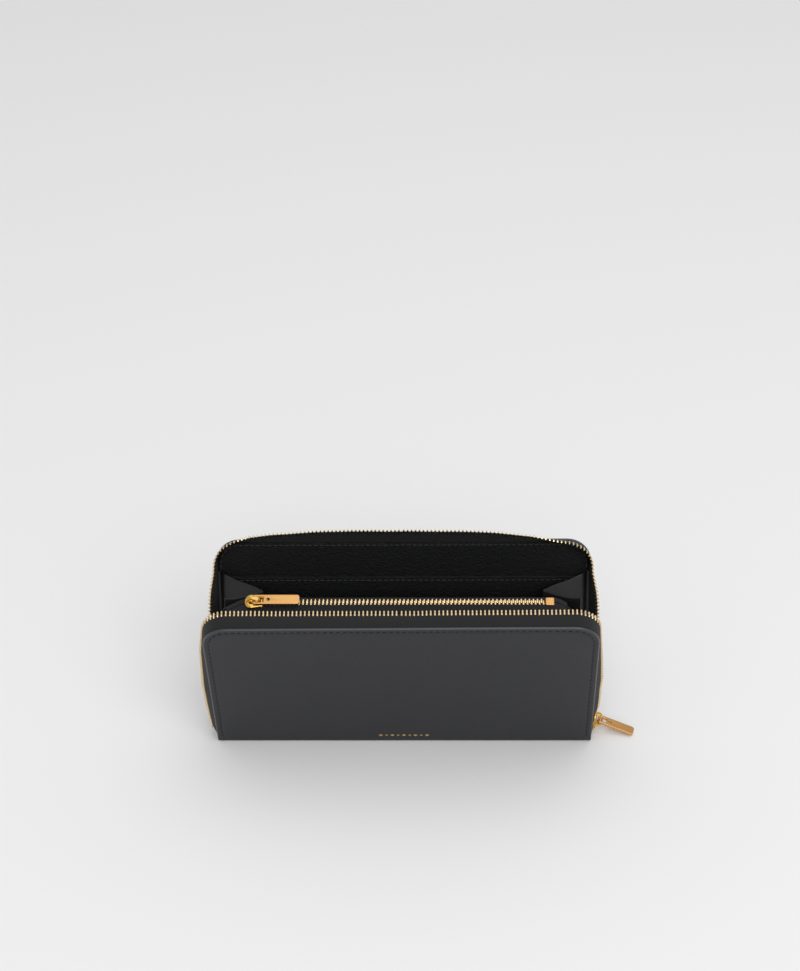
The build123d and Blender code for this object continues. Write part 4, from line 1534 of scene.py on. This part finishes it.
@dataclass
class Slider:
    """Cast zip slider: a domed crown, a flat base, a wedge between them and a bridge for the pull."""

    name: str
    body: str
    finish: bpy.types.Material
    origin: Vector
    mouth_axis: Vector
    out_axis: Vector
    nodes: tuple[str, str]
    length: float = 9.0
    mouth: float = 7.6
    tail: float = 6.0
    room: float = 1.9
    crown: float = 0.85

    def outline(self, scale: float = 1.0) -> list[tuple[float, float]]:
        """Shield outline, narrow at the tail and round at the mouth."""
        half = self.length / 2 * scale
        wide, narrow = self.mouth / 2 * scale, self.tail / 2 * scale
        ring = []
        for i in range(13):
            a = math.pi * i / 12
            ring.append((wide * math.cos(a), half * 0.3 + half * 0.7 * math.sin(a)))
        for i in range(5):
            a = math.pi + math.pi / 2 * i / 4
            ring.append((-narrow + 1.2 * scale * (1 + math.cos(a)), -half + 1.2 * scale * (1 + math.sin(a))))
        for i in range(5):
            a = math.pi * 1.5 + math.pi / 2 * i / 4
            ring.append((narrow - 1.2 * scale * (1 - math.cos(a)), -half + 1.2 * scale * (1 + math.sin(a))))
        return ring

    def shell(self, levels: Sequence[tuple[float, float]], place: Matrix) -> bpy.types.Mesh:
        """Skin the outline through scales and heights.

        Args:
            levels: Scale and height of each ring, in millimetres.
            place: Where the shell goes.

        Returns:
            The new mesh.
        """
        mesh = skin([[(x, y, z) for x, y in self.outline(s)] for s, z in levels])
        mesh.transform(place)
        return mesh

    def build(self) -> None:
        """Make the slider's body and bridge."""
        x_axis = self.mouth_axis.cross(self.out_axis)
        place = plane_matrix(self.origin, x_axis, self.out_axis)
        r, c = self.room / 2, self.crown
        crown = self.shell([(0.93, r), (1.0, r + 0.12), (1.0, r + 0.42), (0.965, r + 0.62), (0.88, r + 0.76),
                            (0.7, r + c), (0.4, r + c + 0.08), (0.1, r + c + 0.1)], place)
        base = self.shell([(0.8, -r - c), (0.95, -r - c + 0.06), (1.0, -r - c + 0.25), (1.0, -r - 0.1),
                           (0.96, -r)], place)
        rails = []
        for sign in (-1, 1):
            wide, narrow = self.mouth / 2, self.tail / 2
            for low, high in ((r - 0.55, r + 0.2), (-r - 0.2, 0.55 - r)):
                loops = []
                for y, x in ((-4.2, narrow), (-1.0, narrow + 0.15), (1.4, wide - 0.1), (2.4, wide - 0.35)):
                    loops.append([(sign * (x - 0.62), y, low), (sign * x, y, low), (sign * x, y, high),
                                  (sign * (x - 0.62), y, high)])
                rail = skin(loops)
                rail.transform(place)
                rails.append(rail)
        wedge = skin([[(0.5, 2.0, z), (0.62, 3.2, z), (0, 4.3, z), (-0.62, 3.2, z), (-0.5, 2.0, z)]
                      for z in (-r - 0.1, r + 0.1)])
        wedge.transform(place)
        body = joined(f"{self.name}_case", [crown, base, wedge, *rails], self.finish)
        ride_and_stand_for(body, self.body, [self.nodes[0]])
        seat = r + c - 0.15
        loops = []
        arch = [(-3.1, 0.0), (-3.15, 1.2), (-3.0, 2.1), (-2.5, 2.75), (-1.6, 3.05), (0, 3.2), (1.6, 3.05),
                (2.5, 2.75), (3.0, 2.1), (3.15, 1.2), (3.1, 0.0)]
        for i, (y, z) in enumerate(arch):
            before, after = arch[max(0, i - 1)], arch[min(len(arch) - 1, i + 1)]
            heading = Vector((after[0] - before[0], after[1] - before[1])).normalized()
            normal = Vector((-heading.y, heading.x))
            wide = 1.8 + 0.5 * abs(y / 3.15) ** 3
            thick = 0.85
            loops.append([(a, y + b * normal.x, seat + z - 0.35 + b * normal.y)
                          for a, b in round_rect(wide, thick, 0.3, 3)])
        bridge_mesh = skin(loops)
        bridge_mesh.transform(place)
        bridge = new_object(f"{self.name}_bridge_arch", bridge_mesh, self.finish, 50)
        ride_and_stand_for(bridge, self.body, [self.nodes[1]])


@dataclass
class Pull:
    """Flat brushed pull with a window for the bridge and a small hole, its edges softly broken."""

    name: str
    body: str
    finish: bpy.types.Material
    pivot: Vector
    along: Vector
    out_axis: Vector
    node: str
    length: float = 19.8
    width: float = 5.6
    thickness: float = 1.25
    end_bar: float = 1.3
    window: tuple[float, float] = (4.6, 3.0)
    hole_at: float = 7.0
    hole_radius: float = 0.8

    def build(self) -> None:
        """Make the pull."""
        start = -self.end_bar / 2
        outline = [(x + start + self.length / 2, y) for x, y in round_rect(self.length, self.width, 1.35, 6)]
        eye = [(x + self.end_bar / 2 + self.window[0] / 2, y) for x, y in round_rect(*self.window, 0.7, 4)]
        hole = circle(self.hole_at, 0.0, self.hole_radius)
        place = plane_matrix(self.pivot, self.along, self.out_axis)
        mesh = plate(outline, [eye, hole], self.thickness, 0.22, place)
        piece = new_object(self.name, mesh, self.finish, 50)
        ride_and_stand_for(piece, self.body, [self.node])


@dataclass
class ZipTail:
    """Closed end of the long zip below the main slider."""

    finishes: Finishes
    origin: Vector
    twist: float = 10.0

    def build(self) -> None:
        """Make the two tape ends, the last teeth and the bottom stop."""
        turn = math.radians(self.twist)
        across = Vector((math.sin(turn), math.cos(turn), 0))
        out = Vector((math.cos(turn), -math.sin(turn), 0))
        meshes = []
        for sign in (-1, 1):
            rows = [d - 5.5 for d in spread(8.6, 1.2, 0.2)]
            grid = [[tuple(self.origin + across * (sign * (2.2 + s)) + Vector((0, 0, z))
                           - out * (0.25 * s * s / 2.2)) for s in (0, 0.4, 0.8, 1.2, 1.5)] for z in rows]
            flat = [[(s, z) for s in (0, 0.4, 0.8, 1.2, 1.5)] for z in rows]
            meshes.append(leaf(grid, 0.46, flat))
        tapes = joined("long_zip_tail_tape", meshes, self.finishes.tape)
        ride_and_stand_for(tapes, "spine", ["main_zip_tail_tapes"])
        rails = []
        for sign in (-1, 1):
            low = -3.7 + (0.49 if sign > 0 else -0.49)
            rails.append([(tuple(self.origin + across * (sign * 2.25) + Vector((0, 0, low + 1.95 * i))),
                           across * -sign) for i in range(4)])
        row = RowMaker("long_zip_tail_teeth", tooth_seed(self.finishes.teeth), self.finishes.teeth,
                       1.95).make(rails)
        ride_and_stand_for(row, "spine", ["main_zip_tail_teeth"])
        frame = plane_matrix(self.origin + Vector((0, 0, -5.0)), across, out)
        stop = new_object("long_zip_foot_stop", plate(round_rect(4.4, 1.3, 0.4), [], 1.7, 0.25, frame),
                          self.finishes.teeth)
        ride_and_stand_for(stop, "spine", ["main_zip_bottom_stop"])


@dataclass
class FoilOrnament:
    """Row of small foil lozenges pressed into the front cover above its foot."""

    shape: WalletShape
    finish: bpy.types.Material
    rise: float = 5.6
    spacing: float = 2.9

    def build(self) -> None:
        """Make the lozenges."""
        points: list[Point] = []
        faces: list[tuple[int, ...]] = []
        for i in range(9):
            size = (2.4 if i % 2 == 0 else 1.7) / 2
            x = (i - 4) * self.spacing
            for outer, depth in ((1.0, 0.10), (0.86, -0.05)):
                for a, b in ((1, 0), (0, 1), (-1, 0), (0, -1)):
                    points.append(self.shape.point(Side.FRONT, x + a * size * outer,
                                                   self.rise + b * size * outer * 0.8, depth))
            base = i * 8
            faces.append(tuple(base + 4 + k for k in range(4)))
            faces.append(tuple(base + 3 - k for k in range(4)))
            faces += [(base + k, base + (k + 1) % 4, base + 4 + (k + 1) % 4, base + 4 + k) for k in range(4)]
        piece = new_object("foil_lozenges", mesh_from(points, faces), self.finish, 20)
        ride_and_stand_for(piece, "front_cover", ["front_foil_mark"])


# ---------------------------------------------------------------------------------------------
# Floor, light and camera


@dataclass
class Studio:
    """Pale floor, large soft lights and the camera."""

    floor_colour: str = "EFEFF0"

    def floor(self) -> None:
        """Make the floor, which is not part of the wallet."""
        material, _, shader = Finish("matt_paper_backdrop").start()
        shader.inputs["Base Color"].default_value = linear_colour(self.floor_colour)
        shader.inputs["Roughness"].default_value = 0.9
        mesh = bpy.data.meshes.new("floor")
        mesh.from_pydata([(-8, -8, 0), (8, -8, 0), (8, 8, 0), (-8, 8, 0)], [], [(0, 1, 2, 3)])
        floor = new_object("floor", mesh, material)

    def light(self, name: str, place: Point, target: Point, size: tuple[float, float], power: float,
              tint: tuple[float, float, float] = (1, 1, 1)) -> None:
        """Add one soft area light, in metres."""
        data = bpy.data.lights.new(name, "AREA")
        data.shape = "RECTANGLE"
        data.size, data.size_y = size
        data.energy = power
        data.color = tint
        lamp = bpy.data.objects.new(name, data)
        bpy.context.scene.collection.objects.link(lamp)
        lamp.location = place
        lamp.rotation_euler = (Vector(target) - Vector(place)).to_track_quat("-Z", "Y").to_euler()

    def camera(self) -> None:
        """Set the camera."""
        forward = Vector((-0.02624, 0.84049, -0.54110))
        right = Vector((0.99951, 0.03120, 0.0))
        up = Vector((-0.01688, 0.54084, 0.84090))
        roll = math.radians(1.175)
        side = right * math.cos(roll) - up * math.sin(roll)
        top = right * math.sin(roll) + up * math.cos(roll)
        data = bpy.data.cameras.new("camera")
        data.lens = 72.73
        data.sensor_width = 36.0
        data.clip_start, data.clip_end = 0.02, 60.0
        camera = bpy.data.objects.new("camera", data)
        bpy.context.scene.collection.objects.link(camera)
        turn = Matrix((side, top, -forward)).transposed().to_4x4()
        camera.matrix_world = Matrix.Translation((0.02434, -0.77316, 0.64423)) @ turn
        bpy.context.scene.camera = camera

    def build(self) -> None:
        """Make the floor, the lights, the surroundings and the camera."""
        self.floor()
        self.light("overhead", (0.3, 0.1, 2.6), (0, 0, 0), (2.6, 2.4), 14)
        self.light("front_key", (0.7, -2.1, 1.9), (0, 0, 0.0), (2.6, 1.6), 38)
        world = bpy.data.worlds.new("studio")
        world.use_nodes = True
        world.node_tree.nodes["Background"].inputs[0].default_value = (1, 1, 1, 1)
        world.node_tree.nodes["Background"].inputs[1].default_value = 0.59
        bpy.context.scene.world = world
        bpy.context.scene.view_settings.view_transform = "Standard"
        self.camera()


@dataclass
class Wallet:
    """The whole wallet, built piece by piece in the CAD frame."""

    frame: dict

    def build(self) -> None:
        """Build every sub-assembly."""
        shape = WalletShape.from_frame(self.frame["joints"])
        finishes = Finishes.make()
        LOG.info("cover %.1f x %.1f mm, spine %.1f mm, open %.1f deg", shape.width, shape.height,
                 shape.depth, shape.tilt)
        joints = {j["name"]: j for j in self.frame["joints"]}
        twist = math.radians(10.0)
        out = Vector((math.cos(twist), -math.sin(twist), 0))
        main_pivot = Vector(joints["main_pull_swing"]["pos_m"]) / MM
        main_at = main_pivot - out * 2.95
        for side in Side:
            cut = replace(shape, height=shape.height - FRONT_SAG, skew=FRONT_SKEW) if side is Side.FRONT else shape
            CoverLeather(cut, finishes, side).build()
            CoverInside(cut, finishes, side).build()
            CoverZip(cut, finishes, side, tuple(main_at)).build()
            for across in (-1, 1):
                Gusset(shape, finishes, side, across).build()
        divider = Divider(shape, finishes)
        divider.build()
        Slider("main_zip_slider", "main_slider", finishes.polished, main_at, Vector((0, 0, 1)), out,
               ("main_slider_body", "main_slider_bridge")).build()
        swing, drop = math.radians(15.0), math.radians(14.5)
        reach = Vector((math.cos(drop) * math.cos(swing), -math.cos(drop) * math.sin(swing), -math.sin(drop)))
        hinge = Vector((math.sin(swing), math.cos(swing), 0))
        Pull("main_zip_pull", "main_pull", finishes.satin, main_pivot, reach, reach.cross(hinge),
             "main_pull_tab", length=19.0, window=(3.4, 3.0), hole_at=5.7).build()
        coin_at = divider.zip_point(divider.slider_x, 0)
        Slider("coin_zip_slider", "pocket_slider", finishes.polished, coin_at, Vector((-1, 0, 0)),
               divider.out_axis, ("pocket_slider_body", "pocket_slider_bridge")).build()
        Pull("coin_zip_pull", "pocket_pull", finishes.satin, coin_at + divider.out_axis * 2.95,
             Vector((1, 0, 0)), divider.out_axis, "pocket_pull_tab", length=23.0, width=5.1,
             window=(4.2, 3.0)).build()
        ZipTail(finishes, main_at).build()
        FoilOrnament(shape, finishes.foil).build()
        for name, node in self.frame["nodes"].items():
            if name.endswith("_board"):
                node.data.materials.clear()
                node.data.materials.append(finishes.board)
        for seed in [o for o in bpy.data.objects if o.name.startswith(("tooth_seed", "stitch_seed"))]:
            bpy.data.objects.remove(seed)


def main() -> None:
    """Build the wallet and its studio."""
    logging.basicConfig(level=logging.INFO, format="%(name)s: %(message)s")
    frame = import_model()
    Wallet(frame).build()
    Studio().build()


if __name__ == "__main__":
    main()
